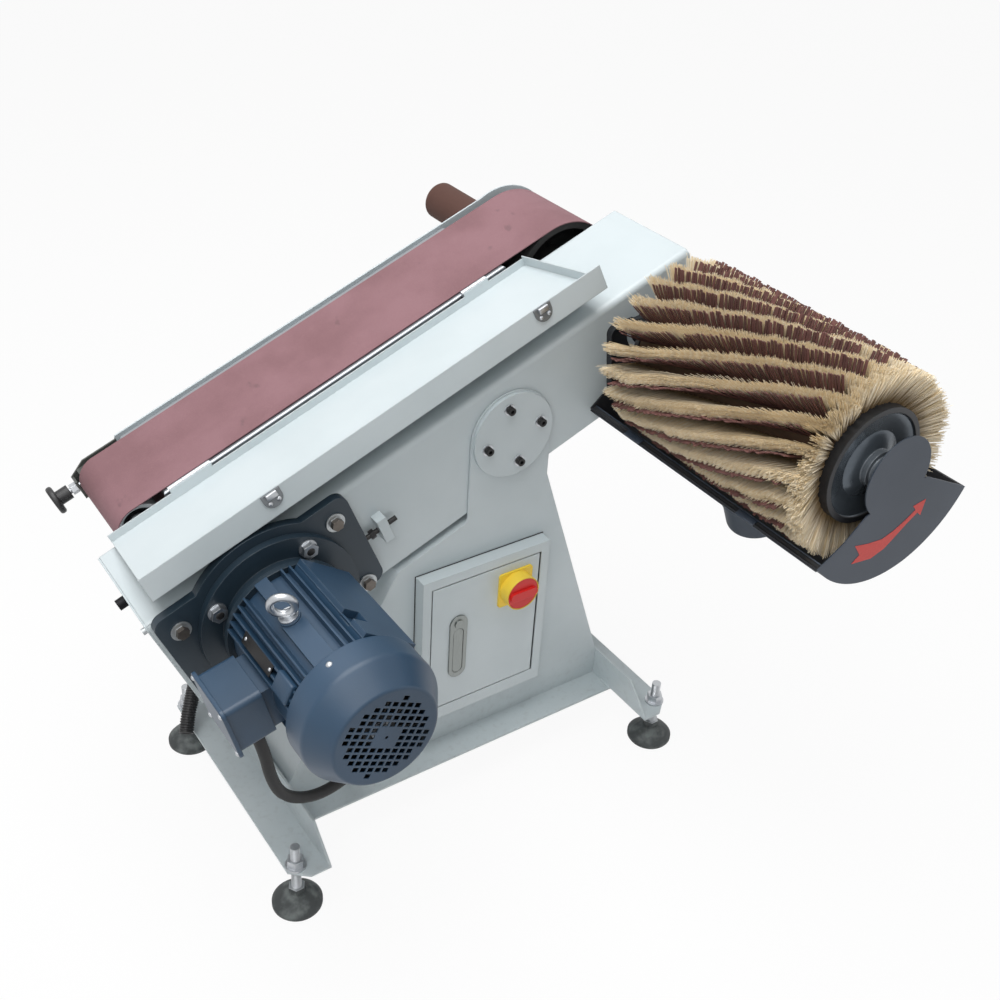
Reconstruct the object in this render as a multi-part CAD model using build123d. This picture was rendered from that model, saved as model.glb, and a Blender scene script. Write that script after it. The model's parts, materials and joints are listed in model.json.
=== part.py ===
from build123d import *

import math
import os

# Belt and brush sanding machine on a sheet-metal pedestal, in millimetres.
# X runs along the pedestal to the right, Y away from the operator, Z up from the floor.
# Arm pieces are drawn in the arm's own frame: X along the arm, Z square to its top, origin on the pivot.

# Stand
FOOT_X, FOOT_Y = 361.7, 209.7
PAD_R, PAD_TOP = 40.0, 30.0
STEM_R, STEM_TOP = 8.0, 128.0
FLANGE_TOP, FLANGE_T = 86.6, 4.0
FLANGE_OUT, FLANGE_IN = 379.0, 315.3
FLANGE_RISE = 139.4
ANGLE_TIP_Y, ANGLE_TAPER_Y = 240.0, 187.0
LEDGE_TOP, LEDGE_T, LEDGE_REACH = 82.9, 4.0, 51.7
SHEET = 3.0
PED_FRONT, PED_BACK = -86.0, 115.0
LEFT_LOW = (-308.4, 128.0)
SHOULDER = (-111.4, 475.5)
RIGHT_LOW = (315.3, 139.4)
RIGHT_TOP = (160.8, 580.9)

# Pivot of the arm
PIVOT_X, PIVOT_Z = 89.0, 666.7
TILT = 22.31
TONGUE_R = 75.0
DISC_R, DISC_T, REAR_DISC_T = 72.5, 6.0, 4.0
BOSS_R, BOSS_IN = 35.0, 22.0
PIVOT_SCREW_R, PIVOT_SCREW_TURN = 49.8, 14.2
RUN = 0.05

# Control box in the pedestal front
BOX_X0, BOX_X1 = -79.0, 165.0
BOX_Z0, BOX_Z1 = 158.0, 454.8
BOX_PROUD, BOX_DEPTH, BOX_SHEET = 24.0, 126.0, 2.0
DOOR_X0, DOOR_X1 = -61.1, 144.8
DOOR_Z0, DOOR_Z1 = 185.0, 435.5
DOOR_HINGE_X, DOOR_HINGE_Y = 142.0, -105.5
LATCH_X, LATCH_Z0, LATCH_Z1, LATCH_W = -11.0, 240.0, 368.0, 33.0
LATCH_PIN_Z = 260.0
SWITCH_X, SWITCH_Z = 97.0, 387.0
SWITCH_PLATE_W, SWITCH_PLATE_H = 65.0, 66.0

# Arm
ARM_LEFT, ARM_RIGHT = -602.0, 386.0
ARM_LOW, ARM_TOP = -89.2, 99.2
ARM_FRONT, ARM_BACK = -82.1, 109.9
ARM_BEND, ARM_LOW_BEND = 10.0, 4.0

# Spindle
SPIN_S, SPIN_W = 278.6, 18.5
SHAFT_R, FRONT_SHAFT_R, REAR_SHAFT_R = 20.0, 17.5, 15.0
WHEEL_R, IDLER_R = 95.4, 37.4
BELT_T, BELT_GAP = 1.5, 0.3
BELT_Y0, BELT_Y1 = 132.0, 301.0
IDLER_S, IDLER_W = -525.5, 77.0
SLEEVE_R, SLEEVE_Y0, SLEEVE_Y1 = 34.6, 327.0, 527.0
BRUSH_R, BRUSH_CORE_R = 145.0, 84.0
BRUSH_Y0, BRUSH_Y1 = -540.0, -160.0
BRUSH_ROWS, ROW_TUFTS = 21, 18
ROW_START, ROW_TWIST, STRIP_TURN = -1.7, 66.0, 5.0

# Motor
MOTOR_S, MOTOR_W = -438.1, -3.7
PLATE_BACK, PLATE_T = -82.4, 14.0
PLATE_S0, PLATE_S1 = -598.0, -278.0
PLATE_LOW, PLATE_TOP, PLATE_BULGE_R = -78.0, 107.0, 141.0
MOTOR_FLANGE_R, MOTOR_FLANGE_T, SPIGOT_R = 125.0, 12.0, 90.0
BOLT_CIRCLE_R = 107.5
FRAME_R, FIN_R, FRAME_BORE = 88.0, 100.0, 82.0
FRAME_Y0, FRAME_Y1, NECK_R, SHIELD_Y = -320.0, -134.0, 98.0, -120.0
PAD_TURN, PAD_OUT, PAD_HALF = 33.0, 97.0, 46.0
GRILLE_TURN = -50.0
COWL_R, COWL_FLAT_R, COWL_END, COWL_BEND_Y, COWL_Y1, COWL_T = 102.0, 77.0, -404.0, -364.0, -322.0, 1.5
EYE_S, EYE_Y, EYE_W, EYE_TURN = -6.5, -222.0, 123.3, 59.5
MOTOR_SHAFT_R = 14.0
TERMINAL_TURN = 172.0
PULLEY_MOTOR_R, PULLEY_SPINDLE_R = 50.0, 62.5
V_Y, V_PITCH, V_WIDTH, V_DEPTH = 0.0, 15.0, 13.0, 8.0
JACK_Y, JACK_W, JACK_R = -90.4, 3.0, 4.0

# Belt unit behind the arm
FRAME_BOX_Y0, FRAME_BOX_Y1 = 126.0, 309.5
FRAME_BOX_LOW, FRAME_BOX_TOP = 55.0, 105.5
PLATEN_TOP = 113.5
GUARD_Y0, GUARD_Y1 = 318.0, 321.0
GUARD_TOP, GUARD_R = 115.0, 98.0
TENSION_Y, TENSION_W, TENSION_R = 310.0, 79.0, 5.0
GUARD_END = -569.0

# Hinged cover, drawn closed about its hinge line and then swung open
COVER_Y, COVER_W = 118.0, 119.5
COVER_OPEN = 169.7
COVER_BASE_H, COVER_SHEET = 17.0, 2.0
COVER_BACK, COVER_FRONT = 7.3, 213.3
COVER_S0, COVER_S1_BACK, COVER_S1_FRONT = -575.0, 203.0, 222.0
COVER_HINGES = ((-465.0, -392.0), (84.0, 132.0))
KEEPER_S = (-366.5, 110.0)

# Dust hood under the brush
HOOD_T = 2.0
HOOD_ARM_Y, HOOD_END_Y = -84.1, -577.0
HOOD_LEFT = (143.0, -57.0)
HOOD_MID = (187.9, -128.9)
HOOD_LOW = (300.0, -177.0)
HOOD_RIGHT_MID = (366.0, -165.6)
HOOD_RIGHT = (425.0, -128.0)
PORT_S, PORT_Y, PORT_R = 252.0, -319.0, 50.0
PORT_LOW, PORT_TOP, PORT_COLLAR_R = -233.0, -183.0, 52.5

# Cords: a smooth motor lead and a ribbed supply conduit
LEAD_R = 9.0
LEAD_ENTRY = (-192.0, -86.0, 218.0)
CONDUIT_R, CONDUIT_BORE = 12.5, 9.0
CONDUIT_EXIT = (-130.0, 115.0, 205.0)
GLAND_LONG = 18.0

NODES = {}
CORDS = ("motor_lead", "supply_conduit")


def block(x0, x1, y0, y1, z0, z1):
    """A box between two corners."""
    return Pos((x0 + x1) / 2, (y0 + y1) / 2, (z0 + z1) / 2) * Box(x1 - x0, y1 - y0, z1 - z0)


def rod_x(y, z, x0, x1, r):
    return Pos((x0 + x1) / 2, y, z) * Rot(0, 90, 0) * Cylinder(r, x1 - x0)


def rod_y(x, z, y0, y1, r):
    return Pos(x, (y0 + y1) / 2, z) * Rot(90, 0, 0) * Cylinder(r, y1 - y0)


def rod_z(x, y, z0, z1, r):
    return Pos(x, y, (z0 + z1) / 2) * Cylinder(r, z1 - z0)


def slab(outline, y0, y1):
    """An outline drawn in X and Z, as thick as from y0 to y1."""
    return extrude(Plane.XZ.offset(-y1) * outline, y1 - y0, dir=(0, -1, 0))


def sill(outline, z0, z1):
    """An outline drawn in X and Y, as thick as from z0 to z1."""
    return extrude(Plane.XY.offset(z0) * outline, z1 - z0, dir=(0, 0, 1))


def beam(outline, x0, x1):
    """An outline drawn in Y and Z, as long as from x0 to x1."""
    return extrude(Plane.YZ.offset(x0) * outline, x1 - x0, dir=(1, 0, 0))


def hexagon(flats):
    return RegularPolygon(flats / math.sqrt(3), 6)


def turned(points):
    """A profile of radius and height along Y, turned about Y."""
    return revolve(Polygon(*points, align=None), Axis.Y)


def stadium(x0, x1, z0, z1):
    """A slot outline with round ends, taller than it is wide."""
    return Pos((x0 + x1) / 2, (z0 + z1) / 2) * SlotOverall(z1 - z0, x1 - x0, rotation=90)


def on_arm(shape):
    """Arm frame to floor frame."""
    return Pos(PIVOT_X, 0, PIVOT_Z) * Rot(0, -TILT, 0) * shape


def arm_point(s, y, w):
    turn = math.radians(TILT)
    x = PIVOT_X + s * math.cos(turn) - w * math.sin(turn)
    z = PIVOT_Z + s * math.sin(turn) + w * math.cos(turn)
    return (x, y, z)


def along(low, high, z):
    """X on the straight edge from low to high at height z."""
    return low[0] + (high[0] - low[0]) * (z - low[1]) / (high[1] - low[1])


# Pedestal: sloped flanks, a shoulder under the arm, two round-topped tongues that hold the pivot
def pedestal_side():
    shoulder_rise = math.tan(math.radians(TILT))
    rest_z = PIVOT_Z - TONGUE_R - 18.8
    rest_x = SHOULDER[0] + (rest_z - SHOULDER[1]) / shoulder_rise
    left_z = LEFT_LOW[1] - (FLANGE_IN + LEFT_LOW[0]) / (SHOULDER[0] - LEFT_LOW[0]) * (SHOULDER[1] - LEFT_LOW[1])
    return Polygon(
        (-FLANGE_IN, LEDGE_TOP),
        (-FLANGE_IN, left_z),
        SHOULDER,
        (rest_x, rest_z),
        (along(RIGHT_LOW, RIGHT_TOP, rest_z), rest_z),
        RIGHT_LOW,
        (FLANGE_IN, LEDGE_TOP),
        align=None,
    )


def pivot_screw_places():
    places = []
    for quarter in range(4):
        turn = math.radians(PIVOT_SCREW_TURN + 90 * quarter)
        places.append((PIVOT_X + PIVOT_SCREW_R * math.cos(turn), PIVOT_Z + PIVOT_SCREW_R * math.sin(turn)))
    return places


def tongue_gusset():
    """The rounded inner corner between the shoulder and the tongue."""
    r, turn = 14.0, math.radians(TILT)
    left = PIVOT_X - TONGUE_R

    def shoulder_z(x):
        return SHOULDER[1] + (x - SHOULDER[0]) * math.tan(turn)

    x = left - r
    z = shoulder_z(x) + r / math.cos(turn)
    touch = (x + r * math.sin(turn), z - r * math.cos(turn))
    corner = Polygon((left + 1, shoulder_z(left) - 1), (left + 1, z), (left, z), (x, z), touch, align=None)
    return corner - Pos(x, z) * Circle(r)


def pedestal_shell():
    side = pedestal_side()
    tongue = Pos(PIVOT_X, (PIVOT_Z + 470) / 2) * Rectangle(2 * TONGUE_R, PIVOT_Z - 470)
    plate = side + tongue + tongue_gusset() + Pos(PIVOT_X, PIVOT_Z) * Circle(TONGUE_R)
    shell = slab(side, PED_FRONT, PED_BACK)
    shell += slab(plate, PED_FRONT, PED_FRONT + SHEET)
    shell += slab(plate, PED_BACK - SHEET, PED_BACK)
    shell -= slab(offset(side, -SHEET), PED_FRONT + SHEET, PED_BACK - SHEET)
    shell -= block(
        -FLANGE_IN + SHEET, FLANGE_IN - SHEET, PED_FRONT + SHEET, PED_BACK - SHEET, LEDGE_TOP - 1, LEDGE_TOP + SHEET + 1
    )
    shell -= block(BOX_X0 - 0.3, BOX_X1 + 0.3, PED_FRONT - 1, PED_FRONT + SHEET + 1, BOX_Z0 - 0.3, BOX_Z1 + 0.3)
    shell -= rod_y(PIVOT_X, PIVOT_Z, PED_FRONT - 1, PED_BACK + 1, BOSS_R + RUN)
    for x, z in pivot_screw_places():
        shell -= rod_y(x, z, PED_FRONT - 1, PED_BACK + 1, 4.1)
    low = LEDGE_TOP - LEDGE_T
    shell += block(-FLANGE_IN, FLANGE_IN, PED_FRONT - LEDGE_REACH, PED_FRONT + SHEET, low, LEDGE_TOP)
    shell += block(-FLANGE_IN, FLANGE_IN, PED_BACK - SHEET, PED_BACK + LEDGE_REACH, low, LEDGE_TOP)
    return shell


def foot_angle(side):
    """One angle-iron foot; its upright flange tapers to nothing at both tips."""
    low = FLANGE_TOP - FLANGE_T
    tip, chamfer_x, chamfer_y = ANGLE_TIP_Y, 350.0, 216.0
    flat = Polygon(
        (FLANGE_IN, -tip), (chamfer_x, -tip), (FLANGE_OUT, -chamfer_y),
        (FLANGE_OUT, chamfer_y), (chamfer_x, tip), (FLANGE_IN, tip),
        align=None,
    )
    rise = Polygon(
        (-tip, low), (-tip, FLANGE_TOP), (-ANGLE_TAPER_Y, FLANGE_RISE),
        (ANGLE_TAPER_Y, FLANGE_RISE), (tip, FLANGE_TOP), (tip, low),
        align=None,
    )
    angle = sill(flat, low, FLANGE_TOP) + beam(rise, FLANGE_IN, FLANGE_IN + FLANGE_T)
    for y in (-FOOT_Y, FOOT_Y):
        angle -= rod_z(FOOT_X, y, low - 1, FLANGE_TOP + 1, STEM_R + 0.5)
    return angle if side > 0 else mirror(angle, Plane.YZ)


def foot_places():
    return {
        "front_left_foot": (-FOOT_X, -FOOT_Y),
        "front_right_foot": (FOOT_X, -FOOT_Y),
        "back_left_foot": (-FOOT_X, FOOT_Y),
        "back_right_foot": (FOOT_X, FOOT_Y),
    }


def levelling_nuts():
    nuts = []
    for x, y in foot_places().values():
        washer = rod_z(x, y, FLANGE_TOP, FLANGE_TOP + 3, 17)
        nut = washer + sill(Pos(x, y) * hexagon(24), FLANGE_TOP + 3, FLANGE_TOP + 16)
        nuts.append(nut - rod_z(x, y, FLANGE_TOP - 1, FLANGE_TOP + 17, STEM_R + 0.1))
    return nuts


def levelling_foot(x, y):
    """A domed pad with a hexagon and a threaded stem."""
    profile = Polygon(
        (0, 0), (PAD_R - 2, 0), (PAD_R, 3), (PAD_R, 9), (PAD_R - 5, 15), (20, 26), (14, PAD_TOP), (0, PAD_TOP),
        align=None,
    )
    pad = revolve(Plane.XZ * profile, Axis.Z)
    foot = pad + sill(hexagon(24), PAD_TOP, PAD_TOP + 11) + rod_z(0, 0, PAD_TOP, STEM_TOP, STEM_R)
    return Pos(x, y, 0) * foot


# Control box: a sheet tub that stands proud of the pedestal, closed by a hinged door
def control_box():
    front = PED_FRONT - BOX_PROUD
    back = PED_FRONT + BOX_DEPTH
    t = BOX_SHEET
    box = block(BOX_X0, BOX_X1, front, back, BOX_Z0, BOX_Z1)
    box -= block(BOX_X0 + t, BOX_X1 - t, front + t, back - t, BOX_Z0 + t, BOX_Z1 - t)
    box -= block(DOOR_X0 - 2, DOOR_X1 + 3.7, front - 1, front + t + 1, DOOR_Z0 - 2, DOOR_Z1 + 2)
    for z0, z1 in ((DOOR_Z1 + 2.5, DOOR_Z1 + 8.5), (DOOR_Z0 - 8.5, DOOR_Z0 - 2.5)):
        box += block(DOOR_HINGE_X - 5, DOOR_HINGE_X + 6, front + t, front + t + 6, z0, z1)
        box -= rod_z(DOOR_HINGE_X, DOOR_HINGE_Y, z0 - 1, z1 + 1, 2.5 + RUN)
    return box


def contactor():
    """A contactor with its overload relay on a mounting foot."""
    back = PED_FRONT + BOX_DEPTH - BOX_SHEET
    body = block(10, 80, back - 8, back, 235, 345)
    body += block(15, 75, back - 70, back - 8, 270, 340)
    body += block(22, 68, back - 82, back - 70, 285, 325)
    body += block(20, 70, back - 60, back - 8, 240, 270)
    return body


def box_door():
    front = PED_FRONT - BOX_PROUD
    t = BOX_SHEET
    door = block(DOOR_X0, DOOR_X1, front, front + t, DOOR_Z0, DOOR_Z1)
    inset, deep = 3.0, 14.0
    door += block(DOOR_X0 + inset, DOOR_X0 + inset + t, front + t, front + deep, DOOR_Z0 + inset, DOOR_Z1 - inset)
    for z in (DOOR_Z0 + inset, DOOR_Z1 - inset - t):
        door += block(DOOR_X0 + inset, DOOR_X1 - 16, front + t, front + deep, z, z + t)
    half = LATCH_W / 2 - 3
    door -= slab(stadium(LATCH_X - half, LATCH_X + half, LATCH_Z0 + 3, LATCH_Z1 - 3), front - 1, front + t + 1)
    return door - rod_y(SWITCH_X, SWITCH_Z, front - 1, front + t + 1, 12)


def door_hinges():
    """Two corner blocks of the door with pins that turn in the frame's lugs."""
    front = PED_FRONT - BOX_PROUD + BOX_SHEET
    hinges = []
    for z0, z1, pin0, pin1 in (
        (DOOR_Z1 - 12, DOOR_Z1, DOOR_Z1, DOOR_Z1 + 8),
        (DOOR_Z0, DOOR_Z0 + 12, DOOR_Z0 - 8, DOOR_Z0),
    ):
        lug = block(DOOR_HINGE_X - 6, DOOR_HINGE_X + 2.5, front, front + 5, z0, z1)
        hinges.append(lug + rod_z(DOOR_HINGE_X, DOOR_HINGE_Y, pin0, pin1, 2.5))
    return hinges


def latch_housing():
    """A flush oval pull: a rim on the door and a tub behind it, open where the lever and button sit."""
    front = PED_FRONT - BOX_PROUD
    half = LATCH_W / 2
    rim = slab(stadium(LATCH_X - half, LATCH_X + half, LATCH_Z0, LATCH_Z1), front - 3, front)
    tub_half = half - 3.3
    rim += slab(stadium(LATCH_X - tub_half, LATCH_X + tub_half, LATCH_Z0 + 3.3, LATCH_Z1 - 3.3), front, front + 16)
    rim -= slab(stadium(LATCH_X - 9.8, LATCH_X + 9.8, LATCH_Z0 + 9.2, LATCH_Z1 - 26.2), front - 4, front + 13)
    rim -= rod_x(front + 1, LATCH_PIN_Z, LATCH_X - 12.6, LATCH_X + 12.6, 2 + RUN)
    return rim - rod_y(LATCH_X, LATCH_Z1 - 16, front - 4, front + 13, 8.1)


def latch_lever():
    front = PED_FRONT - BOX_PROUD
    lever = slab(stadium(LATCH_X - 9, LATCH_X + 9, LATCH_Z0 + 10, LATCH_Z1 - 27), front - 2.5, front + 4)
    return lever + rod_x(front + 1, LATCH_PIN_Z, LATCH_X - 12.3, LATCH_X + 12.3, 2)


def latch_button():
    front = PED_FRONT - BOX_PROUD
    return rod_y(LATCH_X, LATCH_Z1 - 16, front - 5, front + 8, 8)


def switch_base():
    front = PED_FRONT - BOX_PROUD
    plate = Pos(SWITCH_X, SWITCH_Z) * RectangleRounded(SWITCH_PLATE_W, SWITCH_PLATE_H, 5)
    base = slab(plate, front - 4, front)
    base += rod_y(SWITCH_X, SWITCH_Z, front - 26, front - 4, 31) - rod_y(SWITCH_X, SWITCH_Z, front - 27, front - 14, 29.4)
    for turn in (55, 235):
        slot = block(22, 32, front - 19, front - 7, -1.75, 1.75)
        base -= Pos(SWITCH_X, 0, SWITCH_Z) * Rot(0, -turn, 0) * slot
    base += rod_y(SWITCH_X, SWITCH_Z, front, front + BOX_SHEET, 11.5)
    base += block(SWITCH_X - 24, SWITCH_X + 24, front + BOX_SHEET, front + 50, SWITCH_Z - 24, SWITCH_Z + 24)
    return base - rod_y(SWITCH_X, SWITCH_Z, front - 15, front + 30, 5 + RUN)


def switch_knob():
    """A round disc in the collar with a raised grip bar."""
    front = PED_FRONT - BOX_PROUD
    knob = rod_y(SWITCH_X, SWITCH_Z, front - 25.5, front - 14.3, 29)
    bar = block(SWITCH_X - 26, SWITCH_X + 26, front - 30.5, front - 25.5, SWITCH_Z - 8, SWITCH_Z + 8)
    knob += fillet(bar.edges().filter_by(Axis.Y), 7)
    return knob + rod_y(SWITCH_X, SWITCH_Z, front - 14.3, front + 20, 5)


# Pivot: a flange on each tongue carries a boss that turns in the arm's bush
def pivot_flanges():
    front = rod_y(PIVOT_X, PIVOT_Z, PED_FRONT - DISC_T, PED_FRONT, DISC_R)
    front += rod_y(PIVOT_X, PIVOT_Z, PED_FRONT, PED_FRONT + BOSS_IN, BOSS_R)
    rear = rod_y(PIVOT_X, PIVOT_Z, PED_BACK, PED_BACK + REAR_DISC_T, DISC_R)
    rear += rod_y(PIVOT_X, PIVOT_Z, PED_BACK - BOSS_IN, PED_BACK, BOSS_R)
    for x, z in pivot_screw_places():
        front -= rod_y(x, z, PED_FRONT - DISC_T - 1, PED_FRONT + 1, 4.1)
        rear -= rod_y(x, z, PED_BACK - 1, PED_BACK + REAR_DISC_T + 1, 4.1)
    return [front, rear]


def pivot_screws():
    screws = []
    front, rear = PED_FRONT - DISC_T, PED_BACK + REAR_DISC_T
    for x, z in pivot_screw_places():
        head = rod_y(x, z, front - 8, front, 6.5) - slab(Pos(x, z) * hexagon(6), front - 9, front - 4)
        screws.append(head + rod_y(x, z, front, PED_FRONT + SHEET - 0.2, 4))
        screws.append(rod_y(x, z, rear, rear + 5, 6.5) + rod_y(x, z, PED_BACK - SHEET + 0.2, rear, 4))
    return screws


def gland(r):
    """A cable gland standing on Z: hexagon, then a domed nut, with a bore for the cord."""
    return sill(hexagon(2 * r + 8), 0, 8) + rod_z(0, 0, 8, GLAND_LONG, r + 2.5)


def pedestal_glands():
    x, y, z = LEAD_ENTRY
    front = Pos(x, y, z) * Rot(90, 0, 0) * gland(LEAD_R)
    x, y, z = CONDUIT_EXIT
    back = Pos(x, y, z) * Rot(-90, 0, 0) * gland(CONDUIT_R)
    return [front, back]


# Arm: a folded sheet box with bushes for the pivot, open at its left end
def arm_section(inset):
    wide = ARM_BACK - ARM_FRONT - 2 * inset
    high = ARM_TOP - ARM_LOW - 2 * inset
    section = Rectangle(wide, high)
    section = fillet(section.vertices().group_by(Axis.Y)[-1], ARM_BEND - inset)
    section = fillet(section.vertices().group_by(Axis.Y)[0], ARM_LOW_BEND - inset)
    return Pos((ARM_FRONT + ARM_BACK) / 2, (ARM_LOW + ARM_TOP) / 2) * section


def motor_screw_places():
    return ((-568.0, 71.0), (-308.0, 71.0), (-308.0, -67.0), (-568.0, -67.0))


def end_screw_places():
    """Place, head radius and head length: a black cap screw at the middle, a small one in the front corner."""
    return ((13.0, 79.0, 8.5, 14.0), (-69.0, 84.0, 5.0, 6.0))


def arm_shell():
    shell = beam(arm_section(0), ARM_LEFT, ARM_RIGHT)
    shell -= beam(arm_section(SHEET), ARM_LEFT - 1, ARM_RIGHT - SHEET)
    shell += rod_y(0, 0, ARM_FRONT, PED_FRONT + BOSS_IN, 48)
    shell += rod_y(0, 0, PED_BACK - BOSS_IN, ARM_BACK, 48)
    shell -= rod_y(0, 0, ARM_FRONT - 1, ARM_BACK + 1, BOSS_R + RUN)
    shell -= rod_y(SPIN_S, SPIN_W, ARM_FRONT - 1, ARM_BACK + 1, 30)
    slot = Pos(MOTOR_S, MOTOR_W) * SlotOverall(90, 60)
    shell -= slab(slot, ARM_FRONT - 1, ARM_FRONT + SHEET + 1)
    for s, w in motor_screw_places():
        shell -= rod_y(s, w, ARM_FRONT - 1, ARM_FRONT + SHEET + 1, 5.1)
    for y, w, head_r, head_long in end_screw_places():
        shell += block(ARM_LEFT, ARM_LEFT + 12, y - 10, y + 10, w - 10, ARM_TOP - SHEET / 2)
        shell -= rod_x(y, w, ARM_LEFT - 1, ARM_LEFT + 13, 4.1)
    lug = Pos(-247.5, JACK_W) * Rectangle(16, 46)
    shell += slab(lug, ARM_FRONT - 19, ARM_FRONT + SHEET / 2)
    return shell - rod_x(JACK_Y, JACK_W, -260, -230, JACK_R + RUN)


def arm_end_cover():
    cover = beam(arm_section(1.0), ARM_LEFT - SHEET, ARM_LEFT)
    for y, w, head_r, head_long in end_screw_places():
        cover -= rod_x(y, w, ARM_LEFT - SHEET - 1, ARM_LEFT + 1, 4.2)
    return cover


def arm_screws():
    """Cap screws of the end cover, and the motor plate's screws on broad washers."""
    screws = []
    face = ARM_LEFT - SHEET
    for y, w, head_r, head_long in end_screw_places():
        head = rod_x(y, w, face - head_long, face, head_r)
        head -= beam(Pos(y, w) * hexagon(head_r), face - head_long - 1, face - head_long / 2)
        screws.append(head + rod_x(y, w, face, ARM_LEFT + 10, 4))
    front = PLATE_BACK - PLATE_T - 0.2
    for s, w in motor_screw_places():
        screw = rod_y(s, w, front - 2.5, front, 15) + slab(Pos(s, w) * hexagon(17), front - 10.5, front - 2.5)
        screws.append(screw + rod_y(s, w, front, ARM_FRONT + SHEET + 8, 5))
    return screws


def spindle_bearings():
    bearings = []
    for wall, inward in ((ARM_FRONT + SHEET, 1), (ARM_BACK - SHEET, -1)):
        ends = sorted((wall, wall + 12 * inward))
        hub = sorted((wall, wall + 34 * inward))
        bearing = rod_y(SPIN_S, SPIN_W, ends[0], ends[1], 55) + rod_y(SPIN_S, SPIN_W, hub[0], hub[1], 38)
        bearings.append(bearing - rod_y(SPIN_S, SPIN_W, hub[0] - 1, hub[1] + 1, SHAFT_R + RUN))
    return bearings


# Belt unit: a box beam on the arm's back, a platen under the belt, a guard behind it
def loop(r_wheel, r_idler):
    """Outline of a belt round the drive wheel and the idler."""
    return loop_between((SPIN_S, SPIN_W), r_wheel, (IDLER_S, IDLER_W), r_idler)


def loop_between(right, r_right, left, r_left):
    dx, dz = left[0] - right[0], left[1] - right[1]
    reach = math.hypot(dx, dz)
    axis = math.atan2(dz, dx)
    lean = math.acos((r_right - r_left) / reach)

    def touch(centre, r, turn):
        return (centre[0] + r * math.cos(turn), centre[1] + r * math.sin(turn))

    upper, lower = axis - lean, axis + lean
    straps = [
        Line(touch(right, r_right, upper), touch(left, r_left, upper)),
        ThreePointArc(touch(left, r_left, upper), touch(left, r_left, axis), touch(left, r_left, lower)),
        Line(touch(left, r_left, lower), touch(right, r_right, lower)),
        ThreePointArc(
            touch(right, r_right, lower), touch(right, r_right, axis + math.pi), touch(right, r_right, upper)
        ),
    ]
    return make_face(straps)


def belt_frame():
    s0, s1, wall = -470.0, 170.0, 4.0
    frame = block(s0, s1, FRAME_BOX_Y0, FRAME_BOX_Y1, FRAME_BOX_LOW, FRAME_BOX_TOP)
    frame -= block(
        s0 - 1, s1 + 1, FRAME_BOX_Y0 + wall, FRAME_BOX_Y1 - wall, FRAME_BOX_LOW + wall, FRAME_BOX_TOP - wall
    )
    for s in (-330.0, -180.0, 150.0):
        frame += block(s - 15, s + 15, ARM_BACK, FRAME_BOX_Y0 + wall, FRAME_BOX_LOW + 5, FRAME_BOX_TOP - 20)
    return frame


def platen():
    plate = block(-474, 175, 123.5, 309.5, FRAME_BOX_TOP, PLATEN_TOP)
    top_edges = plate.faces().sort_by(Axis.Z)[-1].edges().sort_by(Axis.Y)
    return fillet(top_edges[:-1], 4)


def rear_guard():
    low_left = (GUARD_END, 57.0)
    outline = Polygon(
        low_left, (GUARD_END, 93), (-540, 109), (-480, 109), (-477, GUARD_TOP), (SPIN_S, GUARD_TOP),
        (SPIN_S, SPIN_W - GUARD_R + 2),
        align=None,
    )
    outline += Pos(SPIN_S, SPIN_W) * Circle(GUARD_R)
    guard = slab(outline, GUARD_Y0, GUARD_Y1) - rod_y(SPIN_S, SPIN_W, GUARD_Y0 - 1, GUARD_Y1 + 1, SHAFT_R + 4)
    guard += block(GUARD_END, GUARD_END + 4, 300, GUARD_Y0, 57, 93)
    guard += block(GUARD_END, -495, 304, GUARD_Y0, 57, 60)
    guard += block(-556, -495, 304, GUARD_Y0, 98, 101)
    for s in (-420.0, -140.0, 140.0):
        guard += block(s - 20, s + 20, FRAME_BOX_Y1, GUARD_Y0, 65, 95)
    return guard - rod_x(TENSION_Y, TENSION_W, GUARD_END - 1, GUARD_END + 5, TENSION_R + RUN)


def sanding_belt():
    outer = loop(WHEEL_R + BELT_GAP + BELT_T, IDLER_R + BELT_GAP + BELT_T)
    return slab(outer - loop(WHEEL_R + BELT_GAP, IDLER_R + BELT_GAP), BELT_Y0, BELT_Y1)


def idler_block():
    carrier = block(-548, -503, 303, 317, 60.4, 97.6)
    carrier += rod_y(IDLER_S, IDLER_W, 139, 303, 10)
    return carrier - rod_x(TENSION_Y, TENSION_W, -549, -515, TENSION_R + RUN)


def idler_roller():
    """A steel roller on two bearings, its face rings set back from the rim."""
    half = turned(
        [(10 + RUN, 145), (17, 145), (17, 148), (26, 148), (26, 145), (32, 145), (32, 137), (IDLER_R, 137),
         (IDLER_R, 297), (32, 297), (32, 289), (10 + RUN, 289)]
    )
    return Pos(IDLER_S, 0, IDLER_W) * half


def tension_knob():
    """A round knob on a threaded stem, with the lock nut that bears on the guard's end plate."""
    knob = rod_x(TENSION_Y, TENSION_W, -613, -603, 24)
    knob = fillet(knob.edges(), 4)
    knob += rod_x(TENSION_Y, TENSION_W, -603, -583, 12)
    knob += rod_x(TENSION_Y, TENSION_W, -583, -522, TENSION_R)
    return knob + beam(Pos(TENSION_Y, TENSION_W) * hexagon(16), -580, GUARD_END - 0.3)


# Hinged cover: a shallow tray that lies open on the arm and swings over onto the belt
def cover_place(shape):
    return Pos(0, COVER_Y, COVER_W) * Rot(COVER_OPEN, 0, 0) * shape


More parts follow.
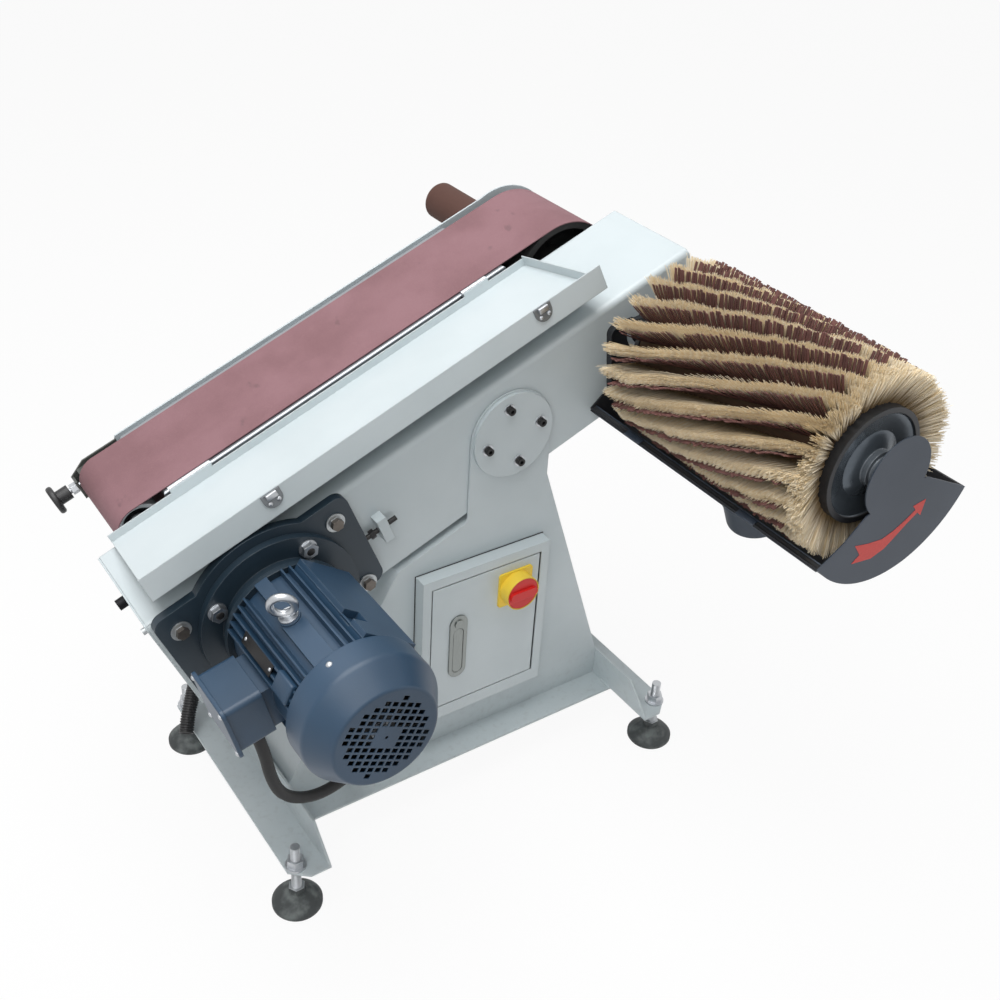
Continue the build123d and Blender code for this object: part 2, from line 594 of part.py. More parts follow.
def cover_tray():
    t, top = COVER_SHEET, COVER_BASE_H
    lean = (COVER_S1_FRONT - COVER_S1_BACK) / (COVER_FRONT - COVER_BACK)

    def right(v):
        return COVER_S1_BACK + lean * (v - COVER_BACK)

    back, front = COVER_BACK, COVER_FRONT
    base = Polygon((COVER_S0, back), (right(back), back), (right(front), front), (COVER_S0, front), align=None)
    tray = sill(base, top - t, top)
    side = Polygon((right(back) - t, back), (right(back), back), (right(front), front), (right(front) - t, front), align=None)
    tray += sill(side, top - 18, top)
    tray += block(COVER_S0, right(back), back, back + t, top - 14, top)
    for s0, s1 in COVER_HINGES:
        tray += block(s0, s1, back, back + t, top - 20, top)
    lip = Polygon((COVER_S0, front - t), (right(front - t), front - t), (right(front), front), (COVER_S0, front), align=None)
    return tray + sill(lip, top - 40, top)


def cover_hinge_leaves():
    """Leaves on the arm's back edge with two outer knuckles and the pin."""
    leaf = Polygon(
        (ARM_BACK, 76), (ARM_BACK + 2.5, 76), (ARM_BACK + 2.5, 110), (121, 115.5), (115, 119.5), (ARM_BACK, 113.5),
        align=None,
    )
    leaves = []
    for s0, s1 in COVER_HINGES:
        third = (s1 - s0) / 3
        hinge = beam(leaf, s0, s1) + rod_x(COVER_Y, COVER_W, s0, s1, 4.5)
        hinge -= block(s0 + third, s1 - third, 113, 124, 110, 125)
        hinge += rod_x(COVER_Y, COVER_W, s0, s1, 2)
        leaves.append(hinge)
    return leaves


def cover_hinges():
    """Leaves on the cover's back flange, each with the middle knuckle."""
    leaves = []
    for s0, s1 in COVER_HINGES:
        third = (s1 - s0) / 3
        m0, m1 = s0 + third + 0.4, s1 - third - 0.4
        leaf = rod_x(0, 0, m0, m1, 4.5) + block(m0, m1, 0, COVER_BACK, -2, 2)
        leaf += block(s0, s1, 5.5, COVER_BACK, -3, 2.5)
        leaves.append(leaf - rod_x(0, 0, m0 - 1, m1 + 1, 2 + RUN))
    return leaves


def latch_keepers():
    keepers = []
    for s in KEEPER_S:
        plate = Pos(s, -12) * Circle(15) - Pos(s, -32) * Rectangle(60, 40)
        plate += Pos(s, -17) * Rectangle(30, 10)
        keepers.append(slab(plate, COVER_FRONT, COVER_FRONT + 2.5))
    return keepers


# Dust hood: a curved trough under the brush, a plate on the arm, a lobed end plate, a hose port
def hood_curve():
    low = ThreePointArc(HOOD_LEFT, HOOD_MID, HOOD_LOW)
    return [low, ThreePointArc(HOOD_LOW, HOOD_RIGHT_MID, HOOD_RIGHT)]


def hood_face(upper):
    """The area above the trough's curve, closed by the points of the upper edge."""
    return make_face(hood_curve() + [Polyline(HOOD_RIGHT, *upper, HOOD_LEFT)])


def dust_hood():
    trough = hood_face([(HOOD_RIGHT[0] - 6, HOOD_RIGHT[1] + 60), (HOOD_LEFT[0] + 60, HOOD_LEFT[1] + 30)])
    inner = offset(trough, -HOOD_T)
    above = Polygon(
        HOOD_RIGHT, (HOOD_RIGHT[0] + 60, 200), (HOOD_LEFT[0] - 60, 200), HOOD_LEFT, align=None
    )
    hood = slab(trough - inner - above, HOOD_END_Y, HOOD_ARM_Y)
    hood += block(HOOD_LEFT[0] - 2, HOOD_LEFT[0] + 10, HOOD_END_Y, HOOD_ARM_Y, HOOD_LEFT[1] - 4, HOOD_LEFT[1] - 2)
    collar = Polygon((181, -43), (210, 66), (372, 22), (384, -43), align=None)
    collar = fillet(collar.vertices().group_by(Axis.Y)[1:], 14)
    hood += slab(hood_face([(384, -43), (181, -43)]) + collar, HOOD_ARM_Y, ARM_FRONT)
    rim = collar - offset(collar, -HOOD_T) - Pos(282, -53) * Rectangle(300, 40)
    hood += slab(rim, HOOD_ARM_Y - 10, HOOD_ARM_Y)
    hood -= rod_y(SPIN_S, SPIN_W, HOOD_ARM_Y - 1, ARM_FRONT + 1, 40)
    port = rod_z(PORT_S, PORT_Y, PORT_LOW, PORT_TOP, PORT_R)
    port += rod_z(PORT_S, PORT_Y, PORT_TOP, -120, PORT_COLLAR_R)
    bore = rod_z(PORT_S, PORT_Y, PORT_LOW - 1, -110, PORT_R - HOOD_T)
    room = slab(inner, HOOD_END_Y, HOOD_ARM_Y)
    return hood + (port - room) - bore


def hood_end_plate():
    plate = hood_face([(352, -47), (300, -30), (237, -30), (193, -47)])
    plate += Pos(299, -4) * Circle(61.5)
    return slab(plate, HOOD_END_Y - HOOD_T, HOOD_END_Y)


# Spindle: one shaft through the arm carries brush, pulley, drive wheel and sanding sleeve
def spindle_shaft():
    shaft = rod_y(SPIN_S, SPIN_W, -104, 322, SHAFT_R)
    shaft += rod_y(SPIN_S, SPIN_W, -570, -104, FRONT_SHAFT_R)
    shaft += rod_y(SPIN_S, SPIN_W, 322, 520, REAR_SHAFT_R)
    return shaft


def grooved_pulley(r, bore):
    """A two-groove V-pulley about Y."""
    half = V_PITCH + 5
    pulley = turned([(bore + RUN, V_Y - half), (r, V_Y - half), (r, V_Y + half), (bore + RUN, V_Y + half)])
    for side in (-1, 1):
        y = V_Y + side * V_PITCH / 2
        wide, deep = V_WIDTH / 2 + 0.4, r - V_DEPTH - 2
        pulley -= turned([(deep, y - wide), (r + 1, y - wide), (r + 1, y + wide), (deep, y + wide)])
    return pulley


def spindle_pulley():
    return Pos(SPIN_S, 0, SPIN_W) * grooved_pulley(PULLEY_SPINDLE_R, SHAFT_R)


def motor_pulley():
    return Pos(MOTOR_S, 0, MOTOR_W) * grooved_pulley(PULLEY_MOTOR_R, MOTOR_SHAFT_R)


def drive_belt():
    belts = []
    ends = ((SPIN_S, SPIN_W), PULLEY_SPINDLE_R, (MOTOR_S, MOTOR_W), PULLEY_MOTOR_R)
    right, r_right, left, r_left = ends
    outer = loop_between(right, r_right, left, r_left)
    inner = loop_between(right, r_right - V_DEPTH, left, r_left - V_DEPTH)
    for side in (-1, 1):
        y = V_Y + side * V_PITCH / 2
        belts.append(slab(outer - inner, y - V_WIDTH / 2, y + V_WIDTH / 2))
    return belts


def drive_wheel():
    """A cast drum: rim and hub joined by one web at mid width."""
    y0, y1 = BELT_Y0 + 2, BELT_Y1 - 2
    web0, web1 = (y0 + y1) / 2 - 8, (y0 + y1) / 2 + 8
    rim, hub, bore = WHEEL_R - 11, 36.0, SHAFT_R + RUN
    wheel = turned(
        [(bore, y0 + 6), (hub, y0 + 6), (hub, web0), (rim, web0), (rim, y0), (WHEEL_R, y0), (WHEEL_R, y1), (rim, y1),
         (rim, web1), (hub, web1), (hub, y1 - 6), (bore, y1 - 6)]
    )
    return Pos(SPIN_S, 0, SPIN_W) * wheel


def sanding_sleeve():
    tube = turned(
        [(REAR_SHAFT_R + RUN, SLEEVE_Y0), (SLEEVE_R, SLEEVE_Y0), (SLEEVE_R, SLEEVE_Y1), (26, SLEEVE_Y1),
         (26, SLEEVE_Y1 - 6), (REAR_SHAFT_R + RUN, SLEEVE_Y1 - 6)]
    )
    return Pos(SPIN_S, 0, SPIN_W) * tube


def brush_flanges():
    """The dished end disc with its stepped hub, and the plain disc on the arm side."""
    bore = FRONT_SHAFT_R + RUN
    end = turned(
        [(bore, -573), (22, -573), (22, -567), (27, -566), (27, -557), (50, -548), (77, -553), (79, -556), (86.7, -556),
         (86.7, BRUSH_Y0), (bore, BRUSH_Y0)]
    )
    arm_side = turned([(bore, BRUSH_Y1), (86, BRUSH_Y1), (86, BRUSH_Y1 + 8), (bore, BRUSH_Y1 + 8)])
    return [Pos(SPIN_S, 0, SPIN_W) * end, Pos(SPIN_S, 0, SPIN_W) * arm_side]


def row_turn(row, y):
    """Angle of a brush row at a place along the brush; the rows wind round it."""
    return ROW_START + 360 / BRUSH_ROWS * row + ROW_TWIST * (y - BRUSH_Y0) / (BRUSH_Y1 - BRUSH_Y0)


def row_lean():
    """How far a row turns aside from the brush axis, at mid bristle."""
    mid = (BRUSH_CORE_R + BRUSH_R) / 2
    return math.degrees(math.atan(math.radians(ROW_TWIST) * mid / (BRUSH_Y1 - BRUSH_Y0)))


def tuft():
    """One bundle of bristles standing on X, spreading a little towards its tip."""
    root = Plane((BRUSH_CORE_R - 1, 0, 0), x_dir=(0, 1, 0), z_dir=(1, 0, 0))
    tip = Plane((BRUSH_R, 0, 0), x_dir=(0, 1, 0), z_dir=(1, 0, 0))
    return loft([root * Rectangle(14, 8), tip * Rectangle(20, 17)], ruled=True)


def brush_bristles():
    drum = turned(
        [(BRUSH_CORE_R - 6, BRUSH_Y0), (BRUSH_CORE_R, BRUSH_Y0), (BRUSH_CORE_R, BRUSH_Y1), (BRUSH_CORE_R - 6, BRUSH_Y1)]
    )
    one = Rot(row_lean(), 0, 0) * tuft()
    margin = 11.0
    step = (BRUSH_Y1 - BRUSH_Y0 - 2 * margin) / (ROW_TUFTS - 1)
    tufts = []
    for row in range(BRUSH_ROWS):
        for place in range(ROW_TUFTS):
            y = BRUSH_Y0 + margin + step * place
            tufts.append(Pos(0, y, 0) * Rot(0, -row_turn(row, y), 0) * one)
    return Pos(SPIN_S, 0, SPIN_W) * drum.fuse(*tufts)


def abrasive_strip():
    """One slit abrasive strip winding along the brush behind a row of tufts."""
    stations = 9
    sections = []
    for number in range(stations):
        y = BRUSH_Y0 + 22 + (BRUSH_Y1 - BRUSH_Y0 - 28) * number / (stations - 1)
        plane = Plane((0, y, 0), x_dir=(1, 0, 0), z_dir=(0, 1, 0))
        bar = Pos((BRUSH_CORE_R - 1 + 139) / 2, 0) * Rectangle(140 - BRUSH_CORE_R, 2.5)
        sections.append(Rot(0, -row_turn(0, y) - STRIP_TURN, 0) * (plane * bar))
    return loft(sections, ruled=True)


def abrasive_strips():
    one = abrasive_strip()
    return [Pos(SPIN_S, 0, SPIN_W) * Rot(0, -360 / BRUSH_ROWS * row, 0) * one for row in range(BRUSH_ROWS)]


# Motor: flange motor on a plate that slides along the arm front
def motor_plate():
    front = PLATE_BACK - PLATE_T
    plate = Pos((PLATE_S0 + PLATE_S1) / 2, (PLATE_LOW + PLATE_TOP) / 2) * RectangleRounded(
        PLATE_S1 - PLATE_S0, PLATE_TOP - PLATE_LOW, 18
    )
    plate += Pos(MOTOR_S, MOTOR_W) * Circle(PLATE_BULGE_R)
    body = slab(plate, front, PLATE_BACK) - rod_y(MOTOR_S, MOTOR_W, front - 1, PLATE_BACK + 1, SPIGOT_R + RUN)
    for s, w in motor_screw_places():
        body -= slab(Pos(s, w) * SlotOverall(27, 11), front - 1, PLATE_BACK + 1)
    for s, w in bolt_places():
        body -= rod_y(s, w, front - 1, PLATE_BACK + 1, 7.1)
    return body - rod_x(JACK_Y, JACK_W, PLATE_S1 - 45, PLATE_S1 + 1, JACK_R + RUN)


def bolt_places():
    places = []
    for quarter in range(4):
        turn = math.radians(45 + 90 * quarter)
        places.append((MOTOR_S + BOLT_CIRCLE_R * math.cos(turn), MOTOR_W + BOLT_CIRCLE_R * math.sin(turn)))
    return places


def motor_end_shields():
    face = PLATE_BACK - PLATE_T
    bore = MOTOR_SHAFT_R + RUN
    front = turned(
        [(bore, face + 4), (SPIGOT_R, face + 4), (SPIGOT_R, face), (MOTOR_FLANGE_R, face),
         (MOTOR_FLANGE_R, face - MOTOR_FLANGE_T), (NECK_R - 6, face - MOTOR_FLANGE_T), (NECK_R - 6, SHIELD_Y - 1),
         (NECK_R, SHIELD_Y - 5), (NECK_R, FRAME_Y1), (FRAME_BORE, FRAME_Y1), (FRAME_BORE, SHIELD_Y), (bore, SHIELD_Y)]
    )
    front = Pos(MOTOR_S, 0, MOTOR_W) * front
    for s, w in bolt_places():
        front -= rod_y(s, w, face - MOTOR_FLANGE_T - 1, face + 1, 7.1)
    rear = turned([(bore, FRAME_Y0), (97, FRAME_Y0), (97, FRAME_Y0 - 10), (40, FRAME_Y0 - 16), (bore, FRAME_Y0 - 16)])
    return [front, Pos(MOTOR_S, 0, MOTOR_W) * rear]


def terminal_place(shape):
    """Terminal box frame, X straight out of the motor and Z down its side, to arm frame."""
    return Pos(MOTOR_S, 0, MOTOR_W) * Rot(0, -TERMINAL_TURN, 0) * shape


TERMINAL_Y0, TERMINAL_Y1 = -262.0, -170.0
TERMINAL_X0, TERMINAL_X1, TERMINAL_HALF = 100.0, 154.0, 41.0
LID_T = 6.0


def motor_frame():
    """A ribbed cast tube with pads for the terminal box and a foot, and a rib under the eye bolt."""
    frame = turned([(0, FRAME_Y0), (FRAME_R, FRAME_Y0), (FRAME_R, FRAME_Y1), (0, FRAME_Y1)])
    fins = []
    for number in range(48):
        turn = 7.5 * number
        near_box = abs(turn - TERMINAL_TURN) < 27
        near_eye = abs(turn - 93) < 13
        near_pad = abs(turn - PAD_TURN) < 26
        if not (near_box or near_eye or near_pad):
            fins.append(Rot(0, -turn, 0) * block(FRAME_R - 2, FIN_R, FRAME_Y0, FRAME_Y1, -1.5, 1.5))
    frame = frame.fuse(*fins)
    frame += Rot(0, -TERMINAL_TURN, 0) * block(
        FRAME_R - 20, TERMINAL_X0, TERMINAL_Y0 + 6, TERMINAL_Y1 - 6, -TERMINAL_HALF + 6, TERMINAL_HALF - 6
    )
    pad = block(FRAME_R - 24, PAD_OUT, FRAME_Y0, FRAME_Y1, -PAD_HALF, PAD_HALF)
    pad -= block(PAD_OUT - 12, PAD_OUT + 1, -286, -262, PAD_HALF - 26, PAD_HALF + 1)
    frame += Rot(0, -PAD_TURN, 0) * pad
    frame += rod_z(EYE_S, EYE_Y, FRAME_R - 10, FIN_R, 16)
    frame += block(EYE_S - 16, EYE_S + 16, FRAME_Y0, EYE_Y, FRAME_R - 10, FIN_R - 3)
    frame += block(EYE_S - 10, EYE_S + 10, EYE_Y, FRAME_Y1, FRAME_R - 10, FIN_R)
    frame -= rod_y(0, 0, FRAME_Y0 - 1, FRAME_Y1 + 1, FRAME_BORE)
    return Pos(MOTOR_S, 0, MOTOR_W) * frame


def motor_stator():
    ring = turned([(52, -290), (FRAME_BORE - RUN, -290), (FRAME_BORE - RUN, -150), (52, -150)])
    return Pos(MOTOR_S, 0, MOTOR_W) * ring


def motor_rotor():
    rotor = turned(
        [(0, -388), (MOTOR_SHAFT_R, -388), (MOTOR_SHAFT_R, -318), (18, -318), (18, -288), (51.5, -288), (51.5, -152),
         (18, -152), (18, -122), (MOTOR_SHAFT_R, -122), (MOTOR_SHAFT_R, 24), (0, 24)]
    )
    return Pos(MOTOR_S, 0, MOTOR_W) * rotor


def motor_fan():
    fan = rod_y(0, 0, -384, -346, 24) + rod_y(0, 0, -352, -348, 84)
    blades = []
    for number in range(8):
        blades.append(Rot(0, 45 * number, 0) * block(20, 84, -382, -350, -1.5, 1.5))
    fan = fan.fuse(*blades) - rod_y(0, 0, -390, -340, MOTOR_SHAFT_R + RUN)
    return Pos(MOTOR_S, 0, MOTOR_W) * fan


def cowl_profile(inset, bend):
    """Half the cowl's outline: a flat end, a cone and a cylinder with rounded bends."""
    slope = math.atan2(COWL_R - COWL_FLAT_R, COWL_BEND_Y - COWL_END)
    flat_r = COWL_FLAT_R - inset * math.tan((math.pi / 2 - slope) / 2)
    bend_y = COWL_BEND_Y + inset * math.tan(slope / 2)
    r, end = COWL_R - inset, COWL_END + inset
    outline = Polygon((0, end), (flat_r, end), (r, bend_y), (r, COWL_Y1 + inset), (0, COWL_Y1 + inset), align=None)
    outline = fillet(outline.vertices().sort_by_distance((flat_r, end, 0))[0], bend / 2.5)
    return fillet(outline.vertices().sort_by_distance((r, bend_y, 0))[0], bend)


def fan_cover():
    """A pressed cowl with a grille of square holes in its flat end."""
    t = COWL_T
    outer = cowl_profile(0, 14)
    inner = cowl_profile(t, 14 - t)
    cowl = revolve(outer, Axis.Y) - revolve(inner, Axis.Y)
    along_row, across, grille_r, hub_r = 12.4, 10.3, 63.0, 17.0
    holes = [Circle(2.5)]
    steps = int(grille_r / across)
    for i in range(-steps, steps + 1):
        for j in range(-steps, steps + 1):
            if hub_r < math.hypot(i * along_row, j * across) < grille_r:
                holes.append(Pos(i * along_row, j * across) * Rectangle(9, 7))
    cowl -= slab(Rot(0, 0, GRILLE_TURN) * (Sketch() + holes), COWL_END - 1, COWL_END + t + 1)
    return Pos(MOTOR_S, 0, MOTOR_W) * cowl


def terminal_box():
    box = block(TERMINAL_X0, TERMINAL_X1, TERMINAL_Y0, TERMINAL_Y1, -TERMINAL_HALF, TERMINAL_HALF)
    box = fillet(box.edges().filter_by(Axis.X), 8)
    box -= block(TERMINAL_X0 + 6, TERMINAL_X1 + 1, TERMINAL_Y0 + 4, TERMINAL_Y1 - 4, 4 - TERMINAL_HALF, TERMINAL_HALF - 4)
    return terminal_place(box)


def terminal_lid():
    lid = block(
        TERMINAL_X1, TERMINAL_X1 + LID_T, TERMINAL_Y0 - 6, TERMINAL_Y1 + 6, -TERMINAL_HALF - 6, TERMINAL_HALF + 6
    )
    lid = fillet(lid.edges().filter_by(Axis.X), 10)
    return terminal_place(fillet(lid.faces().sort_by(Axis.X)[-1].edges(), 2))


def lead_gland_place():
    return (122.0, -226.0, TERMINAL_HALF)


def terminal_glands():
    """The lead's gland and a blank one beside it, under the terminal box."""
    x, y, z = lead_gland_place()
    lead = Pos(x, y, z) * gland(LEAD_R)
    blank = Pos(x + 6, y + 32, z) * (sill(hexagon(22), 0, 8) + rod_z(0, 0, 8, 14, 9))
    return [terminal_place(lead), terminal_place(blank)]


def eye_bolt():
    ring = Pos(EYE_S, EYE_Y, EYE_W) * Rot(0, 0, EYE_TURN) * Rot(0, 90, 0) * Torus(16.5, 5.5)
    bolt = ring + rod_z(EYE_S, EYE_Y, FIN_R, EYE_W - 15, 8) + rod_z(EYE_S, EYE_Y, FIN_R, FIN_R + 3, 14)
    return Pos(MOTOR_S, 0, MOTOR_W) * bolt


def flange_bolts():
    face = PLATE_BACK - PLATE_T - MOTOR_FLANGE_T
    bolts = []
    for s, w in bolt_places():
        bolt = rod_y(s, w, face - 2.5, face, 14) + slab(Pos(s, w) * hexagon(22), face - 11.5, face - 2.5)
        bolts.append(bolt + rod_y(s, w, face, PLATE_BACK - 0.5, 7))
    return bolts


def jack_screw():
    """A threaded rod through the lug into the plate's edge, with a lock nut."""
    screw = rod_x(JACK_Y, JACK_W, PLATE_S1 - 36, -223, JACK_R)
    return screw + beam(Pos(JACK_Y, JACK_W) * hexagon(13), -270.5, -263)


# Cords
def lead_route():
    """From the terminal box gland down in a slack loop to the gland in the pedestal front."""
    x, y, z = lead_gland_place()
    turn = math.radians(TERMINAL_TURN)

    def below(out):
        s = MOTOR_S + x * math.cos(turn) - out * math.sin(turn)
        w = MOTOR_W + x * math.sin(turn) + out * math.cos(turn)
        return arm_point(s, y, w)

    entry = (LEAD_ENTRY[0], LEAD_ENTRY[1] - GLAND_LONG, LEAD_ENTRY[2])
    return [
        below(z + GLAND_LONG),
        below(z + GLAND_LONG + 44),
        (-399, -222, 309),
        (-384, -216, 264),
        (-356, -208, 229),
        (-318, -200, 207),
        (-278.5, -192.8, 203),
        (-237.7, -182.6, 208),
        (-207, -160.3, 214),
        (entry[0], entry[1] - 28, entry[2]),
        entry,
    ]


def conduit_route():
    """From the pedestal's back plate in a wide bend to a bare end beside the back left foot."""
    x, y, z = CONDUIT_EXIT
    return [
        (x, y + GLAND_LONG, z),
        (x, y + GLAND_LONG + 39, z),
        (-144, 209, 204),
        (-170, 239, 202),
        (-206, 257, 198),
        (-246, 260, 191),
        (-284, 248, 182),
        (-318, 227, 170),
        (-345, 198, 154),
        (-368, 170, 133),
        (-384, 152, 114),
        (-396, 134, 96),
    ]


def cord_path(route):
    """Straight runs joined by arcs as large as the runs allow."""
    points = [Vector(*point) for point in route]
    radii = []
    for before, here, after in zip(points, points[1:], points[2:]):
        turn = math.radians((here - before).get_angle(after - here))
        shorter = min((here - before).length, (after - here).length)
        radii.append(0.45 * shorter / math.tan(turn / 2))
    return FilletPolyline(*points, radius=radii), radii


def report_cord(name, path, radii, solid, area):
    print(name, "length", round(path.length, 1), "least radius", round(min(radii), 1))
    print(name, "volume", round(solid.volume), "section times length", round(area * path.length))


def motor_lead():
    path, radii = cord_path(lead_route())
    section = Plane(path @ 0, z_dir=path % 0) * Circle(LEAD_R)
    lead = sweep(section, path=path)
    report_cord("motor_lead", path, radii, lead, math.pi * LEAD_R**2)
    return lead


def supply_conduit():
    """A ribbed hose: plain ends one diameter long, ribs between, and a bore right through."""
    path, radii = cord_path(conduit_route())
    plain = 2 * CONDUIT_R
    ribs = 80
    pitch = (path.length - 2 * plain) / ribs
    root = CONDUIT_R - 1.6

    def ring(run, r):
        at = run / path.length
        return Plane(path @ at, x_dir=(0, 0, 1), z_dir=path % at) * Circle(r)

    rings = [ring(0, root)]
    for rib in range(ribs):
        start = plain + rib * pitch
        for share, r in ((0.1, root), (0.3, CONDUIT_R), (0.7, CONDUIT_R), (0.9, root)):
            rings.append(ring(start + share * pitch, r))
    rings.append(ring(path.length, root))
    hose = loft(rings, ruled=True)
    bore = sweep(Plane(path @ 0, z_dir=path % 0) * Circle(CONDUIT_BORE), path=path)
    area = math.pi * ((root**2 + CONDUIT_R**2) / 2 - CONDUIT_BORE**2)
    conduit = hose - bore
    report_cord("supply_conduit", path, radii, conduit, area)
    return conduit


def add(name, shape):
    """Keep a node: one solid, or a group of separate ones."""
    solids = shape if isinstance(shape, list) else [shape]
    NODES[name] = solids


STAND = (pedestal_shell, levelling_nuts, control_box, contactor, box_door, door_hinges, latch_housing, latch_lever,
         latch_button, switch_base, switch_knob, pivot_flanges, pivot_screws, pedestal_glands, motor_lead, supply_conduit)
ARM = (arm_shell, arm_end_cover, arm_screws, spindle_bearings, belt_frame, platen, rear_guard, sanding_belt, idler_block,
       idler_roller, tension_knob, cover_hinge_leaves, dust_hood, hood_end_plate, spindle_shaft, spindle_pulley,
       motor_pulley, drive_belt, drive_wheel, sanding_sleeve, brush_flanges, brush_bristles, abrasive_strips,
       motor_plate, motor_end_shields, motor_frame, motor_stator, motor_rotor, motor_fan, fan_cover, terminal_box,
       terminal_lid, terminal_glands, eye_bolt, flange_bolts, jack_screw)
COVER = (cover_tray, cover_hinges, latch_keepers)

for make in STAND:
    add(make.__name__, make())
add("foot_angles", [foot_angle(-1), foot_angle(1)])
for foot, (foot_x, foot_y) in foot_places().items():
    add(foot, levelling_foot(foot_x, foot_y))
for make in ARM:
    made = make()
    add(make.__name__, [on_arm(one) for one in made] if isinstance(made, list) else on_arm(made))
for make in COVER:
    made = make()
    group = made if isinstance(made, list) else [made]
    add(make.__name__, [on_arm(cover_place(one)) for one in group])

# The origin is on the floor, under the middle of the machine's box
box = Compound([solid for name in NODES if name not in CORDS for shape in NODES[name] for solid in shape.solids()])
bounds = box.bounding_box()
shift = Pos(-bounds.center().X, -bounds.center().Y, 0)
print("shift", round(-bounds.center().X, 4), round(-bounds.center().Y, 4), "size", bounds.size)

os.makedirs("parts", exist_ok=True)
for name, shapes in NODES.items():
    solids = [shift * solid for shape in shapes for solid in shape.solids()]
    node = Compound(solids) if len(solids) > 1 else solids[0]
    export_step(node, os.path.join("parts", name + ".step"))
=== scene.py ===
import bpy
import bmesh
import json
import random
from math import acos, cos, pi, radians, sin
from mathutils import Matrix, Vector, noise

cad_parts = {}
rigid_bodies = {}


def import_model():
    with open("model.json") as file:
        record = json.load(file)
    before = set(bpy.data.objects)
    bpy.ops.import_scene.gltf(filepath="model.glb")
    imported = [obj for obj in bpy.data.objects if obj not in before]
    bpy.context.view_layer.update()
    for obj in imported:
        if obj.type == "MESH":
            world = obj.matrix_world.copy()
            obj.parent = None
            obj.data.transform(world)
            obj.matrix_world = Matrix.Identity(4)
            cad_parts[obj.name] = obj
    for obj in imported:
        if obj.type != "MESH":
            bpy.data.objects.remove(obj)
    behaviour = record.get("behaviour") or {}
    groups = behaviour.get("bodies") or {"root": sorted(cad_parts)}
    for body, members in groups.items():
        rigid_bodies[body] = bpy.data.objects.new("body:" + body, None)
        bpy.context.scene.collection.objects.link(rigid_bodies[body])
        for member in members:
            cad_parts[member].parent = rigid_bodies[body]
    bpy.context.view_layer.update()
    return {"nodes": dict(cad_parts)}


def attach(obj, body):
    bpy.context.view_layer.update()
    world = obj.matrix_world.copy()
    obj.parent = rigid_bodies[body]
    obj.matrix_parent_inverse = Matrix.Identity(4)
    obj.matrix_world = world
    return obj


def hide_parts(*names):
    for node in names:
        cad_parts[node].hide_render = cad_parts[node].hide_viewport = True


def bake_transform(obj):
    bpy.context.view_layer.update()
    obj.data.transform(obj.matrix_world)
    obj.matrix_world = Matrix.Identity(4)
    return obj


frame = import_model()


# Pedestal: bent and welded steel sheet with sloped flanks, standing on two angle irons that are
# welded across its base. The whole weldment is sprayed with light grey enamel over a primer.


class Coat:
    """A value that lies over a surface. Sums and products of such values add Math nodes."""

    def __init__(self, tree, socket=None):
        self.tree = tree
        self.socket = socket

    def node(self, kind, settings, values, output=0):
        made_node = self.tree.nodes.new("ShaderNode" + kind)
        for name, setting in settings.items():
            setattr(made_node, name, setting)
        for name, value in values.items():
            if isinstance(value, Coat):
                self.tree.links.new(value.socket, made_node.inputs[name])
            else:
                made_node.inputs[name].default_value = value
        return Coat(self.tree, made_node.outputs[output])

    def math(self, operation, first, second):
        return self.node("Math", {"operation": operation}, {0: first, 1: second})

    def __add__(self, other):
        return self.math("ADD", self, other)

    __radd__ = __add__

    def __sub__(self, other):
        return self.math("SUBTRACT", self, other)

    def __rsub__(self, other):
        return self.math("SUBTRACT", other, self)

    def __mul__(self, other):
        return self.math("MULTIPLY", self, other)

    __rmul__ = __mul__


def colour(red, green, blue):
    levels = [level / 255 for level in (red, green, blue)]
    return (*[((v + 0.055) / 1.055) ** 2.4 if v > 0.04 else v / 12.92 for v in levels], 1)


def new_finish(name, metallic=0.0):
    finish = bpy.data.materials.new(name)
    finish.use_nodes = True
    shader = finish.node_tree.nodes["Principled BSDF"]
    shader.inputs["Metallic"].default_value = metallic
    return finish, shader, Coat(finish.node_tree).node("TexCoord", {}, {}, "Object")


def blotch(place, scale, detail):
    return place.node("TexNoise", {}, {"Vector": place, "Scale": scale, "Detail": detail})


def rise(value, low, high):
    return value.node("MapRange", {"interpolation_type": "SMOOTHSTEP"},
                      {"Value": value, "From Min": low, "From Max": high})


def tint(mask, first, second):
    return mask.node("Mix", {"data_type": "RGBA"}, {0: mask, 6: first, 7: second}, 2)


def along(place, axis):
    return place.node("SeparateXYZ", {}, {"Vector": place}, axis)


def stretch(place, x, y, z):
    return place.node("VectorMath", {"operation": "MULTIPLY"}, {0: place, 1: (x, y, z)})


def round_edge(place, radius):
    return place.node("Bevel", {"samples": 4}, {"Radius": radius})


def edge_mask(rounded):
    flat = rounded.node("NewGeometry", {}, {}, "Normal")
    return 1 - rounded.node("VectorMath", {"operation": "DOT_PRODUCT"}, {0: rounded, 1: flat},
                            "Value")


def relief(height, depth, under=None):
    values = {"Strength": 1.0, "Distance": depth, "Height": height}
    if under:
        values["Normal"] = under
    return height.node("Bump", {}, values)


def lay(shader, layers):
    for name, layer in layers.items():
        layer.tree.links.new(layer.socket, shader.inputs[name])


